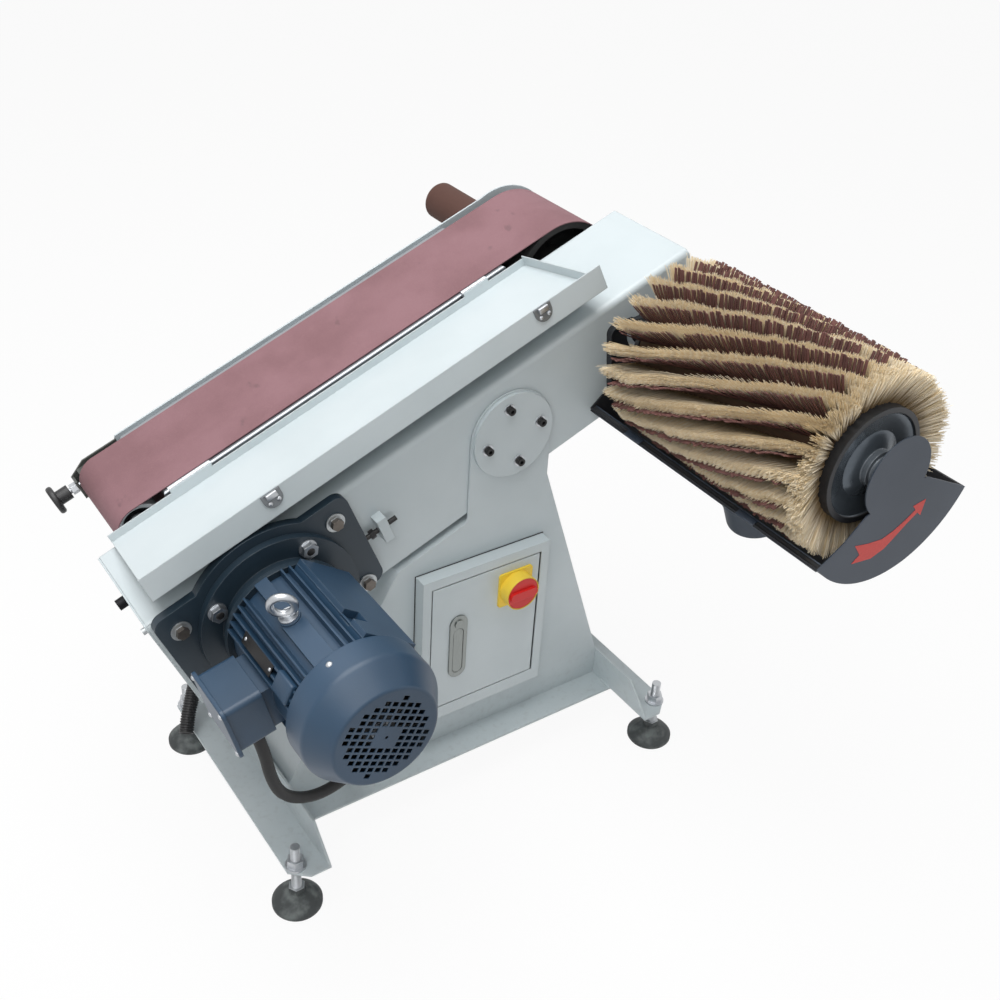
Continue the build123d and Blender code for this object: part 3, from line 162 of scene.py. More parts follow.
def enamel(name, light, dark, worn, roughness, peel=0.00004, radius=0.0022):
    finish, shader, place = new_finish(name)
    patches = blotch(place, 5, 4)
    rounded = round_edge(place, radius)
    rubbed = rise(edge_mask(rounded), 0.02, 0.16) * rise(blotch(place, 55, 3), 0.42, 0.68)
    low = 1 - rise(along(place, "Z"), 0.05, 0.24)
    grime = low * rise(blotch(place, 95, 5), 0.5, 0.78)
    specks = rise(blotch(place, 420, 2), 0.7, 0.78) * rise(blotch(place, 17, 2), 0.45, 0.7)
    paint = tint(rise(patches, 0.3, 0.7), light, dark)
    paint = tint(0.55 * rubbed, paint, worn)
    paint = tint(0.14 * grime + 0.10 * specks, paint, colour(104, 98, 90))
    lay(shader, {
        "Base Color": paint,
        "Roughness": roughness + 0.1 * patches + 0.12 * grime + 0.12 * rubbed,
        "Normal": relief(blotch(place, 620, 2) + 0.6 * blotch(place, 150, 2), peel, rounded),
    })
    return finish


def dress(finish, *names):
    for name in names:
        for place in frame["nodes"][name].material_slots:
            place.material = finish


grey_enamel = enamel("grey_enamel", colour(200, 209, 212), colour(192, 202, 205),
                     colour(220, 226, 228), 0.27)
dress(grey_enamel, "pedestal_shell", "foot_angles")


# Weld beads: short runs of weld metal where the base ledges and the flanks of the pedestal meet
# the angle irons. They are laid by hand and painted over with the same grey enamel.

scene_objects = bpy.context.scene.collection.objects


def made(name, shape, finish, body, crease):
    mesh = bpy.data.meshes.new(name)
    shape.to_mesh(mesh)
    shape.free()
    mesh.shade_smooth()
    mesh.set_sharp_from_angle(angle=radians(crease))
    mesh.materials.append(finish)
    piece = bpy.data.objects.new(name, mesh)
    scene_objects.link(piece)
    if body:
        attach(piece, body)
    return piece


def weld_bead(shape, start, end, radius):
    spacing, ripple = radius * 0.9, 0.12
    run = Vector(end) - Vector(start)
    steps = max(1, round(run.length / spacing))
    for step in range(steps + 1):
        drop = bmesh.ops.create_uvsphere(shape, u_segments=10, v_segments=7,
                                         radius=radius * (1 - ripple * (step % 2)))["verts"]
        bmesh.ops.translate(shape, verts=drop, vec=Vector(start) + run * step / steps)


base_middle, weld_reach = -0.0069, 0.3153
weld_height, weld_length, weld_radius = 0.0832, 0.024, 0.0032
welds = bmesh.new()
for side in (-1, 1):
    weld_x = side * weld_reach + base_middle
    for y in (-0.1116, -0.060, 0.140, 0.190):
        weld_bead(welds, (weld_x, y, weld_height), (weld_x, y + weld_length, weld_height),
                  weld_radius)
made("weld_beads", welds, grey_enamel, "stand", 80)


# Levelling feet: black moulded rubber pads on zinc plated threaded stems, locked under the angle
# irons by plated nuts and washers.

zinc, zinc_shader, place = new_finish("zinc_plate", metallic=1.0)
zinc_cloud = blotch(place, 130, 3)
lay(zinc_shader, {
    "Base Color": tint(zinc_cloud, colour(205, 208, 212), colour(166, 169, 172)),
    "Roughness": 0.24 + 0.22 * zinc_cloud,
    "Normal": relief(blotch(place, 900, 2), 0.00002, round_edge(place, 0.0006)),
})
dress(zinc, "levelling_nuts")

foot_finish, foot_shader, place = new_finish("levelling_foot")
height = along(place, "Z")
stem = rise(height, 0.0405, 0.0412)
dusty = blotch(place, 38, 5)
thread = place.node("TexWave", {"bands_direction": "Z"}, {"Vector": place, "Scale": 210.0},
                    "Fac")
rubber_grain = blotch(place, 520, 3)
foot_tone = tint(rise(dusty, 0.42, 0.7), colour(58, 62, 63), colour(112, 118, 117))
lay(foot_shader, {
    "Base Color": tint(stem, foot_tone, colour(186, 189, 192)),
    "Metallic": stem,
    "Roughness": (1 - stem) * (0.5 + 0.3 * dusty) + 0.3 * stem,
    "Normal": relief(stem * thread * 4 + (1 - stem) * rubber_grain, 0.00016,
                     round_edge(place, 0.003)),
})
dress(foot_finish, "front_left_foot", "front_right_foot", "back_left_foot", "back_right_foot")


# Control box: a folded steel box let into the front of the pedestal, with a door on pressed hinges.
# Both are painted like the pedestal, and the starter gear sits inside. A thin black strip round the
# box is painted shade: it stands for the shadow in the narrow gap between box and pedestal.

dress(grey_enamel, "control_box", "box_door")
dress(zinc, "door_hinges")

moulded_black, moulded_shader, place = new_finish("moulded_black")
fine_grain = blotch(place, 700, 3)
lay(moulded_shader, {
    "Base Color": tint(blotch(place, 30, 3), colour(20, 20, 21), colour(36, 36, 38)),
    "Roughness": 0.42 + 0.22 * fine_grain,
    "Normal": relief(fine_grain, 0.00005, round_edge(place, 0.0012)),
})
dress(moulded_black, "contactor", "pedestal_glands", "terminal_glands")


def block(shape, size, at):
    verts = bmesh.ops.create_cube(shape, size=1)["verts"]
    bmesh.ops.scale(shape, verts=verts, vec=size)
    bmesh.ops.translate(shape, verts=verts, vec=at)


def soften(shape, offset, segments):
    bmesh.ops.bevel(shape, geom=shape.edges[:], offset=offset, segments=segments, profile=0.5,
                    affect="EDGES", material=-1)


# Painted shade: a thin black strip laid round the box for the shadow in the gap where the box meets
# the pedestal.
gap_shadow_width, gap_shadow_depth, gap_shadow_y = 0.0016, 0.0010, -0.0605
gap_shadow_x, gap_shadow_z, half_wide, half_high = 0.03605, 0.3064, 0.1228, 0.1492
box_gap_shadow = bmesh.new()
for side in (1, -1):
    block(box_gap_shadow, (2 * half_wide + gap_shadow_width, gap_shadow_depth, gap_shadow_width),
          (gap_shadow_x, gap_shadow_y, gap_shadow_z + side * half_high))
for side in (-1, 1):
    block(box_gap_shadow, (gap_shadow_width, gap_shadow_depth, 2 * half_high - gap_shadow_width),
          (gap_shadow_x + side * half_wide, gap_shadow_y, gap_shadow_z))
soften(box_gap_shadow, 0.0002, 1)
made("box_gap_shadow", box_gap_shadow, moulded_black, "stand", 40)


# Door latch: a satin nickel lever latch set in the door, with a sprung thumb button at the top of
# its dished housing. Die cast, brushed lengthwise and plated.


def grained(name, light, dark, scale, detail, roughness, rougher, depth, edge=None, metallic=0.0,
            drawn=(1, 1, 1)):
    finish, shader, place = new_finish(name, metallic)
    grain = blotch(stretch(place, *drawn), scale, detail)
    lay(shader, {
        "Base Color": tint(grain, light, dark),
        "Roughness": roughness + rougher * grain,
        "Normal": relief(grain, depth, round_edge(place, edge) if edge else None),
    })
    return finish


nickel = grained("satin_nickel", colour(152, 156, 154), colour(128, 132, 130), scale=1600, detail=2,
                 roughness=0.26, rougher=0.2, depth=0.00003, edge=0.0012, metallic=1.0,
                 drawn=(1, 1, 0.06))
dress(nickel, "latch_housing", "latch_lever", "latch_button")


# Main switch: a yellow moulded base with a red rotary handle, which turns from off to on. Two
# slots through the yellow collar take a padlock.


def moulding(name, light, dark):
    finish, shader, place = new_finish(name)
    cloud = blotch(place, 45, 3)
    spark = blotch(place, 1100, 2)
    lay(shader, {
        "Base Color": tint(cloud, light, dark),
        "Roughness": 0.3 + 0.16 * spark,
        "Normal": relief(spark, 0.00003, round_edge(place, 0.0014)),
    })
    return finish


switch_yellow = moulding("switch_yellow", colour(248, 216, 72), colour(238, 202, 60))
switch_red = moulding("switch_red", colour(218, 38, 34), colour(198, 30, 30))
dress(switch_yellow, "switch_base")
dress(switch_red, "switch_knob")


# Pivot flanges: turned steel discs with bosses, on which the arm tilts. Four black socket screws
# hold each one to its tongue of the pedestal, on bright washers at the front.

dress(grey_enamel, "pivot_flanges")

black_oxide = grained("black_oxide", colour(30, 30, 32), colour(52, 51, 50), scale=260, detail=3,
                      roughness=0.3, rougher=0.25, depth=0.00003, edge=0.0006, metallic=0.55)
dress(black_oxide, "pivot_screws", "jack_screw")

pivot, arm_tilt = Vector((0.0820517, 0.026, 0.6667)), radians(22.31)
arm_place = Matrix.Translation(pivot) @ Matrix.Rotation(-arm_tilt, 4, "Y")
facing_front = Matrix.Rotation(radians(90), 4, "X")


def verts_of(geom):
    return [item for item in geom if isinstance(item, bmesh.types.BMVert)]


def washer(shape, at, inner, outer, thick):
    ring = bmesh.ops.create_circle(shape, segments=40, radius=outer)["verts"]
    rim = [edge for edge in shape.edges if edge.verts[0] in ring]
    bmesh.ops.translate(shape, verts=ring, vec=(0, 0, thick))
    inside = verts_of(bmesh.ops.extrude_edge_only(shape, edges=rim)["geom"])
    bmesh.ops.scale(shape, verts=inside, vec=(inner / outer, inner / outer, 1))
    skirt = verts_of(bmesh.ops.extrude_edge_only(shape, edges=rim)["geom"])
    bmesh.ops.translate(shape, verts=skirt, vec=(0, 0, -thick))
    bmesh.ops.transform(shape, verts=ring + inside + skirt, matrix=at)


screw_circle, first_screw, flange_face = 0.0498, 14.2, -0.092
pivot_washers = bmesh.new()
for quarter in range(4):
    angle = radians(first_screw + 90 * quarter)
    seat = pivot + Vector((screw_circle * cos(angle), flange_face, screw_circle * sin(angle)))
    washer(pivot_washers, Matrix.Translation(seat) @ facing_front, inner=0.0062, outer=0.0098,
           thick=0.0012)
bmesh.ops.recalc_face_normals(pivot_washers, faces=pivot_washers.faces[:])
made("pivot_washers", pivot_washers, zinc, "stand", 30)


# Arm: a folded box of sheet steel that tilts on the pivot and carries everything that turns. Its
# lower end is closed by a screwed cover, with one black cap screw and one small plated screw.

dress(grey_enamel, "arm_shell", "arm_end_cover")


def up_the_arm(place):
    return place.node("VectorMath", {"operation": "DOT_PRODUCT"},
                      {0: place, 1: (cos(arm_tilt), 0, sin(arm_tilt))}, "Value")


arm_screw_finish, arm_screw_shader, place = new_finish("arm_screw_plating", metallic=0.9)
inward, across = up_the_arm(place), along(place, "Y")
end_cap = (1 - rise(inward, -0.2735, -0.2725)) * rise(across, 0.0, 0.002)
plating = blotch(place, 140, 3)
hex_head = (1 - rise(across, -0.0742, -0.0736)) * rise(inward, -0.2725, -0.2715)
screw_tone = tint(hex_head, tint(plating, colour(188, 192, 194), colour(150, 154, 156)),
                  tint(plating, colour(116, 110, 104), colour(86, 80, 75)))
lay(arm_screw_shader, {
    "Base Color": tint(end_cap, screw_tone, colour(28, 28, 30)),
    "Roughness": 0.28 + 0.25 * plating,
    "Normal": relief(plating, 0.00003, round_edge(place, 0.0008)),
})
dress(arm_screw_finish, "arm_screws")


# Spindle bearings, shafts and pulleys: turned steel and grey iron inside the arm. They keep their
# machined surface under a film of oil.

steel = grained("turned_steel", colour(176, 180, 184), colour(140, 144, 149), scale=220, detail=3,
                roughness=0.26, rougher=0.22, depth=0.00002, edge=0.0008, metallic=1.0,
                drawn=(1, 12, 1))
iron = grained("grey_iron", colour(70, 72, 75), colour(46, 47, 50), scale=320, detail=4,
               roughness=0.45, rougher=0.25, depth=0.00012, edge=0.0012, metallic=0.7)
dress(steel, "spindle_shaft", "platen", "motor_rotor")
dress(iron, "spindle_bearings", "spindle_pulley", "motor_pulley", "motor_stator")


# Drive belts: two rubber V-belts with fabric covers, which run side by side from the motor pulley
# to the spindle pulley inside the arm.


def edges_of(geom):
    return [item for item in geom if isinstance(item, bmesh.types.BMEdge)]


def move(shape, matrix):
    bmesh.ops.transform(shape, verts=shape.verts[:], matrix=matrix)


def join(whole, part):
    mesh = bpy.data.meshes.new("part")
    part.to_mesh(mesh)
    part.free()
    whole.from_mesh(mesh)
    bpy.data.meshes.remove(mesh)


def belt_round(section, near, far, near_radius, far_radius, arc_steps, run_steps):
    shape = bmesh.new()
    near, far = Vector((near[0], 0, near[1])), Vector((far[0], 0, far[1]))
    span = far - near
    lean = acos((near_radius - far_radius) / span.length)
    out = Matrix.Rotation(lean, 3, "Y") @ span.normalized()
    ring = [shape.verts.new(near + out * (near_radius + rise_by) + Vector((0, y, 0)))
            for rise_by, y in section]
    edges = [shape.edges.new((a, b)) for a, b in zip(ring, ring[1:] + ring[:1])]
    for start, start_radius, centre, radius, angle in (
            (near, near_radius, far, far_radius, 2 * lean),
            (far, far_radius, near, near_radius, 2 * pi - 2 * lean)):
        step = ((centre - start) + out * (radius - start_radius)) / run_steps
        for _ in range(run_steps):
            grown = bmesh.ops.extrude_edge_only(shape, edges=edges)["geom"]
            bmesh.ops.translate(shape, vec=step, verts=verts_of(grown))
            edges = edges_of(grown)
        last = edges + list({vert for edge in edges for vert in edge.verts})
        edges = edges_of(bmesh.ops.spin(shape, geom=last, cent=centre, axis=(0, -1, 0),
                                        angle=angle, steps=arc_steps)["geom_last"])
        out = Matrix.Rotation(-angle, 3, "Y") @ out
    bmesh.ops.remove_doubles(shape, verts=shape.verts[:], dist=0.00002)
    bmesh.ops.recalc_face_normals(shape, faces=shape.faces[:])
    return shape


rubber, rubber_shader, place = new_finish("belt_rubber")
weave = place.node("TexWave", {"bands_direction": "DIAGONAL"},
                   {"Vector": place, "Scale": 260.0}, "Fac")
lay(rubber_shader, {
    "Base Color": tint(blotch(place, 60, 3), colour(26, 26, 27), colour(48, 47, 46)),
    "Roughness": 0.6 + 0.2 * weave,
    "Normal": relief(weave, 0.0001),
})
spindle_centre, motor_centre = (0.2786, 0.0185), (-0.4381, -0.0037)
spindle_groove, motor_groove = 0.0545, 0.042
v_height, v_inner, v_outer = 0.008, 0.0042, 0.0065
v_belts = bmesh.new()
for middle in (-0.0075, 0.0075):
    section = [(0.0, middle - v_inner), (0.0, middle + v_inner), (v_height, middle + v_outer),
               (v_height, middle - v_outer)]
    join(v_belts, belt_round(section, spindle_centre, motor_centre, spindle_groove, motor_groove,
                             arc_steps=40, run_steps=12))
move(v_belts, arm_place)
drive_belts = made("drive_belts", v_belts, rubber, None, 30)
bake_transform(drive_belts)
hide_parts("drive_belt")


# Belt unit: a painted steel frame with a polished platen on top, over which the sanding belt
# slides, and a guard plate along the back edge of the belt, coloured dark at its lower end.

dress(grey_enamel, "belt_frame")
guard_finish, guard_shader, place = new_finish("guard_paint")
# The guard is coloured dark olive grey below a line across the arm, towards its lower end.
dark_end = 1 - rise(up_the_arm(place), -0.1500, -0.1492)
guard_cloud = blotch(place, 40, 4)
lay(guard_shader, {
    "Base Color": tint(dark_end,
                       tint(guard_cloud, colour(204, 212, 216), colour(194, 203, 207)),
                       tint(guard_cloud, colour(84, 86, 82), colour(62, 64, 61))),
    "Roughness": 0.3 + 0.12 * guard_cloud + 0.15 * dark_end,
    "Normal": relief(blotch(place, 620, 2), 0.00005, round_edge(place, 0.0012)),
})
dress(guard_finish, "rear_guard")


# Sanding belt: an endless loop of abrasive cloth, brown red grain on a backing, with scuffs from
# use. It runs round the drive wheel and the idler.

wheel_radius, idler_radius = 0.0957, 0.0377
idler_centre = (-0.5255, 0.077)
belt_front, belt_rear, belt_thick = 0.132, 0.3004, 0.0015
belt_section = [(0.0, belt_front), (0.0, belt_rear), (belt_thick, belt_rear),
                (belt_thick, belt_front)]
abrasive_loop = belt_round(belt_section, spindle_centre, idler_centre, wheel_radius, idler_radius,
                           arc_steps=36, run_steps=40)
move(abrasive_loop, arm_place)
cloth, cloth_shader, place = new_finish("abrasive_cloth")
grit = blotch(place, 1500, 3)
clouds = blotch(place, 9, 4)
scuffs = rise(blotch(stretch(place, 1, 0.55, 1), 36, 3), 0.69, 0.76)
grain_tone = tint(rise(clouds, 0.35, 0.7), colour(137, 101, 107), colour(123, 88, 93))
grain_tone = tint(0.5 * rise(grit, 0.5, 0.75), grain_tone, colour(176, 144, 145))
grain_tone = tint(0.5 * scuffs, grain_tone, colour(92, 62, 66))
lay(cloth_shader, {
    "Base Color": grain_tone,
    "Roughness": 0.72 + 0.2 * grit - 0.2 * scuffs,
    "Normal": relief(grit, 0.00025),
})
sanding_belt = made("abrasive_belt", abrasive_loop, cloth, None, 40)
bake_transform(sanding_belt)
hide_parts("sanding_belt")


# Dust hood: a dark painted trough of bent sheet under the brush, with a lip, an end plate, a round
# dust port below and an arrow on the end plate that shows which way the brush turns.

hood_light, hood_dark = colour(52, 62, 76), colour(45, 55, 68)
hood_paint = enamel("hood_paint", hood_light, hood_dark, colour(112, 119, 127), 0.4)
dress(hood_paint, "hood_end_plate")

brush_axis = arm_place @ Vector((spindle_centre[0], 0, spindle_centre[1]))


def from_axis(place):
    offset = place.node("VectorMath", {"operation": "SUBTRACT"}, {0: place, 1: brush_axis})
    return stretch(offset, 1, 0, 1)


trough_paint, trough_shader, place = new_finish("trough_paint")
outward = place.node("NewGeometry", {}, {}, "Normal")
facing = place.node("VectorMath", {"operation": "DOT_PRODUCT"},
                    {0: from_axis(place), 1: outward}, "Value")
# Painted shade: the inner faces of the trough and its arm side are coloured near black for the
# shade inside the hood.
inner_side = 1 - rise(facing, -0.05, 0.0)
painted_inside_shade = inner_side.math("MAXIMUM", inner_side, rise(along(place, "Y"), -0.0690, -0.0684))
trough_cloud = blotch(place, 14, 4)
trough_edge = round_edge(place, 0.0015)
trough_tone = tint(trough_cloud, hood_light, hood_dark)
# Painted highlight: the rounded edges of the trough are blended towards a light grey.
trough_tone = tint(0.5 * rise(edge_mask(trough_edge), 0.02, 0.2), trough_tone,
                   colour(120, 127, 135))
lay(trough_shader, {
    "Base Color": tint(painted_inside_shade, trough_tone,
                       tint(trough_cloud, colour(24, 26, 29), colour(40, 41, 45))),
    "Roughness": 0.42 + 0.2 * trough_cloud,
    "Normal": relief(blotch(place, 600, 2), 0.00004, trough_edge),
})
dress(trough_paint, "dust_hood")

lip_brackets = bmesh.new()
for middle in (-0.188, -0.438):
    block(lip_brackets, (0.0107, 0.036, 0.0022), (0.14615, middle, -0.0578))
soften(lip_brackets, 0.0007, 2)
move(lip_brackets, arm_place)
made("lip_brackets", lip_brackets, hood_paint, "arm", 40)

lip_rail = bmesh.new()
block(lip_rail, (0.0020, 0.4926, 0.0032), (0.1532, -0.33055, -0.0594))
soften(lip_rail, 0.0005, 2)
move(lip_rail, arm_place)
made("lip_rail", lip_rail, hood_paint, "arm", 40)

arrow_red = grained("arrow_red", colour(214, 50, 38), colour(196, 42, 34), scale=260, detail=3,
                    roughness=0.34, rougher=0.14, depth=0.00002)
plate_front, print_thick = -0.5791, 0.0003
arrow = bmesh.new()
arrow_outline = [(0.201, -0.097), (0.217, -0.092), (0.211, -0.068), (0.235, -0.084),
                 (0.260, -0.097), (0.283, -0.099), (0.305, -0.097), (0.326, -0.093),
                 (0.322, -0.082), (0.347, -0.088), (0.334, -0.111), (0.329, -0.101),
                 (0.307, -0.106), (0.284, -0.113), (0.262, -0.119), (0.236, -0.117)]
arrow_face = arrow.faces.new([arrow.verts.new((s, plate_front, w)) for s, w in arrow_outline])
grown = bmesh.ops.extrude_face_region(arrow, geom=[arrow_face])["geom"]
bmesh.ops.translate(arrow, vec=(0, -print_thick, 0), verts=verts_of(grown))
bmesh.ops.recalc_face_normals(arrow, faces=arrow.faces[:])
bmesh.ops.triangulate(arrow, faces=arrow.faces[:])
move(arrow, arm_place)
made("turning_arrow", arrow, arrow_red, "arm", 30)


# Drive wheel and sanding sleeve: the spindle's rear end drives the belt through a black wheel and
# carries a drum with a cloth sanding sleeve for inside curves.

dress(rubber, "drive_wheel")
sleeve_cloth = grained("sleeve_cloth", colour(92, 60, 50), colour(64, 42, 36), scale=1300, detail=3,
                       roughness=0.75, rougher=0.2, depth=0.00025, edge=0.001)
dress(sleeve_cloth, "sanding_sleeve")


# Brush flanges: pressed steel cheeks that clamp the brush drum. The front one has a black rim, a
# bare dished face and a dark stepped hub.


def off_axis(place):
    return place.node("VectorMath", {"operation": "LENGTH"}, {0: from_axis(place)}, "Value")


flange_finish, flange_shader, place = new_finish("brush_flange")
reach = off_axis(place)
hub = 1 - rise(reach, 0.0278, 0.0284)
rim = rise(reach, 0.0776, 0.0784)
spun = blotch(place, 75, 4)
flange_tone = tint(hub, tint(spun, colour(100, 108, 116), colour(84, 92, 100)),
                   colour(120, 126, 132))
lay(flange_shader, {
    "Base Color": tint(rim, flange_tone, tint(spun, colour(28, 29, 32), colour(44, 45, 48))),
    "Metallic": 0.55 * (1 - rim),
    "Roughness": 0.2 + 0.1 * spun + 0.25 * rim,
    "Normal": relief(spun, 0.00003, round_edge(place, 0.0018)),
})
dress(flange_finish, "brush_flanges")


# Brush bristles: stiff natural fibre set in rows along a wooden core. Each row winds slowly round
# the core, and its tufts stand close, fan out at their tips and lean over the flanges at the ends.

random.seed(4)
noise.seed_set(4)
brush_place = arm_place @ Matrix.Translation((spindle_centre[0], 0, spindle_centre[1]))
core_radius, brush_front, brush_length, bristle_reach = 0.0845, -0.540, 0.380, 0.056
row_count, row_start, row_twist = 21, radians(-1.7), radians(66)
tufts_in_row, strands_in_tuft, front_tufts = 38, 112, 42
tuft_pitch = brush_length / tufts_in_row
turn_out = Matrix.Rotation(radians(90), 4, "Y")


def tuft(y):
    shortest, longest, root_radius, tip_radius = 0.0515, 0.0580, 0.0006, 0.0004
    sunk, overlap, half_row, set_back = 0.002, 1.05, 0.0040, 0.0014
    shape = bmesh.new()
    layer = shape.verts.layers.float.new("strand")
    for _ in range(strands_in_tuft):
        length = random.uniform(shortest, longest)
        strand = bmesh.ops.create_cone(shape, segments=3, radius1=root_radius, radius2=tip_radius,
                                       depth=length, cap_ends=False)["verts"]
        across, lengthwise = random.uniform(-1, 1), random.uniform(-0.5, 0.5)
        tone = random.random()
        splay = 0.03 - 0.045 * across + abs(random.gauss(0, 0.05))
        lean = Matrix.Rotation(splay, 4, "Y") @ Matrix.Rotation(random.gauss(0, 0.06), 4, "Z")
        root = Vector((core_radius - sunk, lengthwise * tuft_pitch * overlap,
                       across * half_row - set_back))
        stand_up = Matrix.Translation(root) @ lean @ Matrix.Translation((length / 2, 0, 0))
        bmesh.ops.transform(shape, verts=strand, matrix=stand_up @ turn_out)
        for vert in strand:
            vert[layer] = tone
    bmesh.ops.translate(shape, verts=shape.verts[:], vec=(0, y, 0))
    return shape


def everything(shape):
    return shape.verts[:] + shape.edges[:] + shape.faces[:]


def ring_round(shape, count):
    bmesh.ops.spin(shape, geom=everything(shape), cent=(0, 0, 0), axis=(0, -1, 0),
                   angle=2 * pi * (count - 1) / count, steps=count - 1, use_duplicate=True)


def wind_rows(shape, item_pitch, items, rows, twist):
    bmesh.ops.spin(shape, geom=everything(shape), cent=(0, 0, 0), axis=(0, -1, 0),
                   dvec=(0, item_pitch, 0), angle=twist / items * (items - 1), steps=items - 1,
                   use_duplicate=True)
    ring_round(shape, rows)


def ruffle(shape, sway, ragged):
    still_root, end_zone, end_flare = 0.05, 0.035, 0.016
    waves, ripples, tips = 34, 110, 47
    for vert in shape.verts:
        radial = Vector((vert.co.x, 0, vert.co.z))
        radius = radial.length
        out = min(max((radius - core_radius) / bristle_reach, 0), 1)
        if out <= still_root:
            continue
        radial /= radius
        swirl = noise.noise_vector(vert.co * waves) + 0.6 * noise.noise_vector(vert.co * ripples)
        vert.co += swirl * sway * out * out
        vert.co += radial * ragged * out * noise.noise(vert.co * tips + Vector((3, 7, 1)))
        front = max(0, 1 - (vert.co.y - brush_front) / end_zone)
        rear = max(0, 1 - (brush_front + brush_length - vert.co.y) / end_zone)
        vert.co.y += end_flare * out * out * (rear - front)


bristle, bristle_shader, place = new_finish("bristle_fibre")
reach = off_axis(place)
strand_tone = place.node("Attribute", {"attribute_name": "strand"}, {}, "Fac")
# Painted shade: the fibre is coloured darker towards the core, for the shade deep in the dense
# tufts.
root_shade_fade = rise(reach, 0.086, 0.122)
fibre = tint(strand_tone, colour(254, 245, 226), colour(236, 216, 176))
lay(bristle_shader, {
    "Base Color": tint(root_shade_fade, colour(150, 126, 92), fibre),
    "Roughness": 0.5 + 0.2 * strand_tone,
})
for set_name, first_row in (("bristles_a", 0), ("bristles_b", 1), ("bristles_c", 2)):
    tufts = tuft(brush_front + tuft_pitch / 2)
    wind_rows(tufts, tuft_pitch, tufts_in_row, row_count // 3, row_twist)
    first_turn = row_start + row_twist * 0.5 / tufts_in_row + first_row * 2 * pi / row_count
    move(tufts, Matrix.Rotation(-first_turn, 4, "Y"))
    ruffle(tufts, sway=0.0028, ragged=0.0045)
    move(tufts, brush_place)
    row_piece = made(set_name, tufts, bristle, "spindle", 60)
    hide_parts("brush_bristles")

front_ring = tuft(brush_front + 0.005)
ring_round(front_ring, front_tufts)
ruffle(front_ring, sway=0.0060, ragged=0.0060)
move(front_ring, brush_place)
ring_piece = made("bristles_front", front_ring, bristle, "spindle", 60)
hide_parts("brush_bristles")

core_play = 0.0005
core = bmesh.new()
bmesh.ops.create_cone(core, segments=96, radius1=core_radius, radius2=core_radius,
                      depth=brush_length - core_play, cap_ends=True)
end_edges = [edge for edge in core.edges if max(len(face.verts) for face in edge.link_faces) > 4]
bmesh.ops.bevel(core, geom=end_edges, offset=0.0015, segments=2, profile=0.5, affect="EDGES",
                material=-1)
core_middle = Matrix.Translation((0, brush_front + brush_length / 2, 0))
move(core, brush_place @ core_middle @ facing_front)
wood = grained("core_wood", colour(92, 66, 42), colour(60, 42, 28), scale=180, detail=4,
               roughness=0.6, rougher=0.2, depth=0.0002, drawn=(1, 0.08, 1))
core_piece = made("brush_core", core, wood, "spindle", 35)
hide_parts("brush_bristles")


# Abrasive strips: slit strips of brown abrasive cloth that lean on each row of bristles, which
# presses them on the work. Each finger bends a little its own way.

finger_count, finger_length, finger_width, finger_thick = 80, 0.0595, 0.0044, 0.0010
finger_sunk, bend_back, strip_lead = 0.0005, 0.0046, radians(5)
torn_share, torn_by = 0.012, -0.016
strip_front, strip_length = brush_front + 0.022, brush_length - 0.028
fingers = bmesh.new()
block(fingers, (finger_length, finger_width, finger_thick),
      (core_radius + finger_length / 2 - finger_sunk, strip_front + finger_width / 2, 0))
long_edges = [edge for edge in fingers.edges
              if abs(edge.verts[0].co.x - edge.verts[1].co.x) > finger_length / 2]
bmesh.ops.subdivide_edges(fingers, cuts=3, use_grid_fill=True, edges=long_edges)
finger_verts = len(fingers.verts)
strip_turn = row_start + row_twist * (strip_front - brush_front) / brush_length + strip_lead
move(fingers, Matrix.Rotation(-strip_turn, 4, "Y"))
wind_rows(fingers, strip_length / finger_count, finger_count, row_count,
          row_twist * strip_length / brush_length)
fingers.verts.ensure_lookup_table()
tone_layer = fingers.verts.layers.float.new("strand")
torn = 0
for first in range(0, len(fingers.verts), finger_verts):
    blade = fingers.verts[first:first + finger_verts]
    middle = sum((vert.co for vert in blade), Vector()) / finger_verts
    radial = Vector((middle.x, 0, middle.z)).normalized()
    sideways = Vector((radial.z, 0, -radial.x))
    bend, slant = random.gauss(0, 0.0010), random.gauss(0, 0.0005)
    taller = random.uniform(-0.0025, 0.0012)
    torn = random.randint(2, 4) if random.random() < torn_share else torn - 1
    if torn > 0:
        taller = torn_by
    tone = random.random()
    for vert in blade:
        out = max(0, (Vector((vert.co.x, 0, vert.co.z)).length - core_radius) / bristle_reach)
        vert.co += sideways * (bend + bend_back) * out * out
        vert.co += Vector((0, slant * out, 0)) + radial * taller * out
        vert[tone_layer] = tone
bmesh.ops.recalc_face_normals(fingers, faces=fingers.faces[:])
move(fingers, brush_place)
strip_cloth, strip_shader, place = new_finish("strip_cloth")
strip_tone = place.node("Attribute", {"attribute_name": "strand"}, {}, "Fac")
strip_grit = blotch(place, 1200, 3)
strip_shade = tint(strip_tone, colour(112, 74, 69), colour(84, 55, 51))
lay(strip_shader, {
    "Base Color": tint(0.4 * rise(strip_grit, 0.5, 0.75), strip_shade, colour(132, 96, 90)),
    "Roughness": 0.75 + 0.2 * strip_grit,
    "Normal": relief(strip_grit, 0.00025),
})
strip_piece = made("slit_strips", fingers, strip_cloth, "spindle", 30)
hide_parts("abrasive_strips")


# Motor plate: a thick steel plate that slides on the arm's front face under four screws with large
# washers, painted a darker slate than the motor that is bolted to it.

plate_paint = enamel("plate_paint", colour(33, 50, 62), colour(27, 42, 53), colour(84, 95, 104),
                     0.36, peel=0.00008, radius=0.0018)
dress(plate_paint, "motor_plate")


# Motor: a totally enclosed fan cooled motor with a ribbed cast frame, flange end shield, sheet
# metal fan cowl, and a terminal box on its side, in slate blue enamel. The shields match the plate.

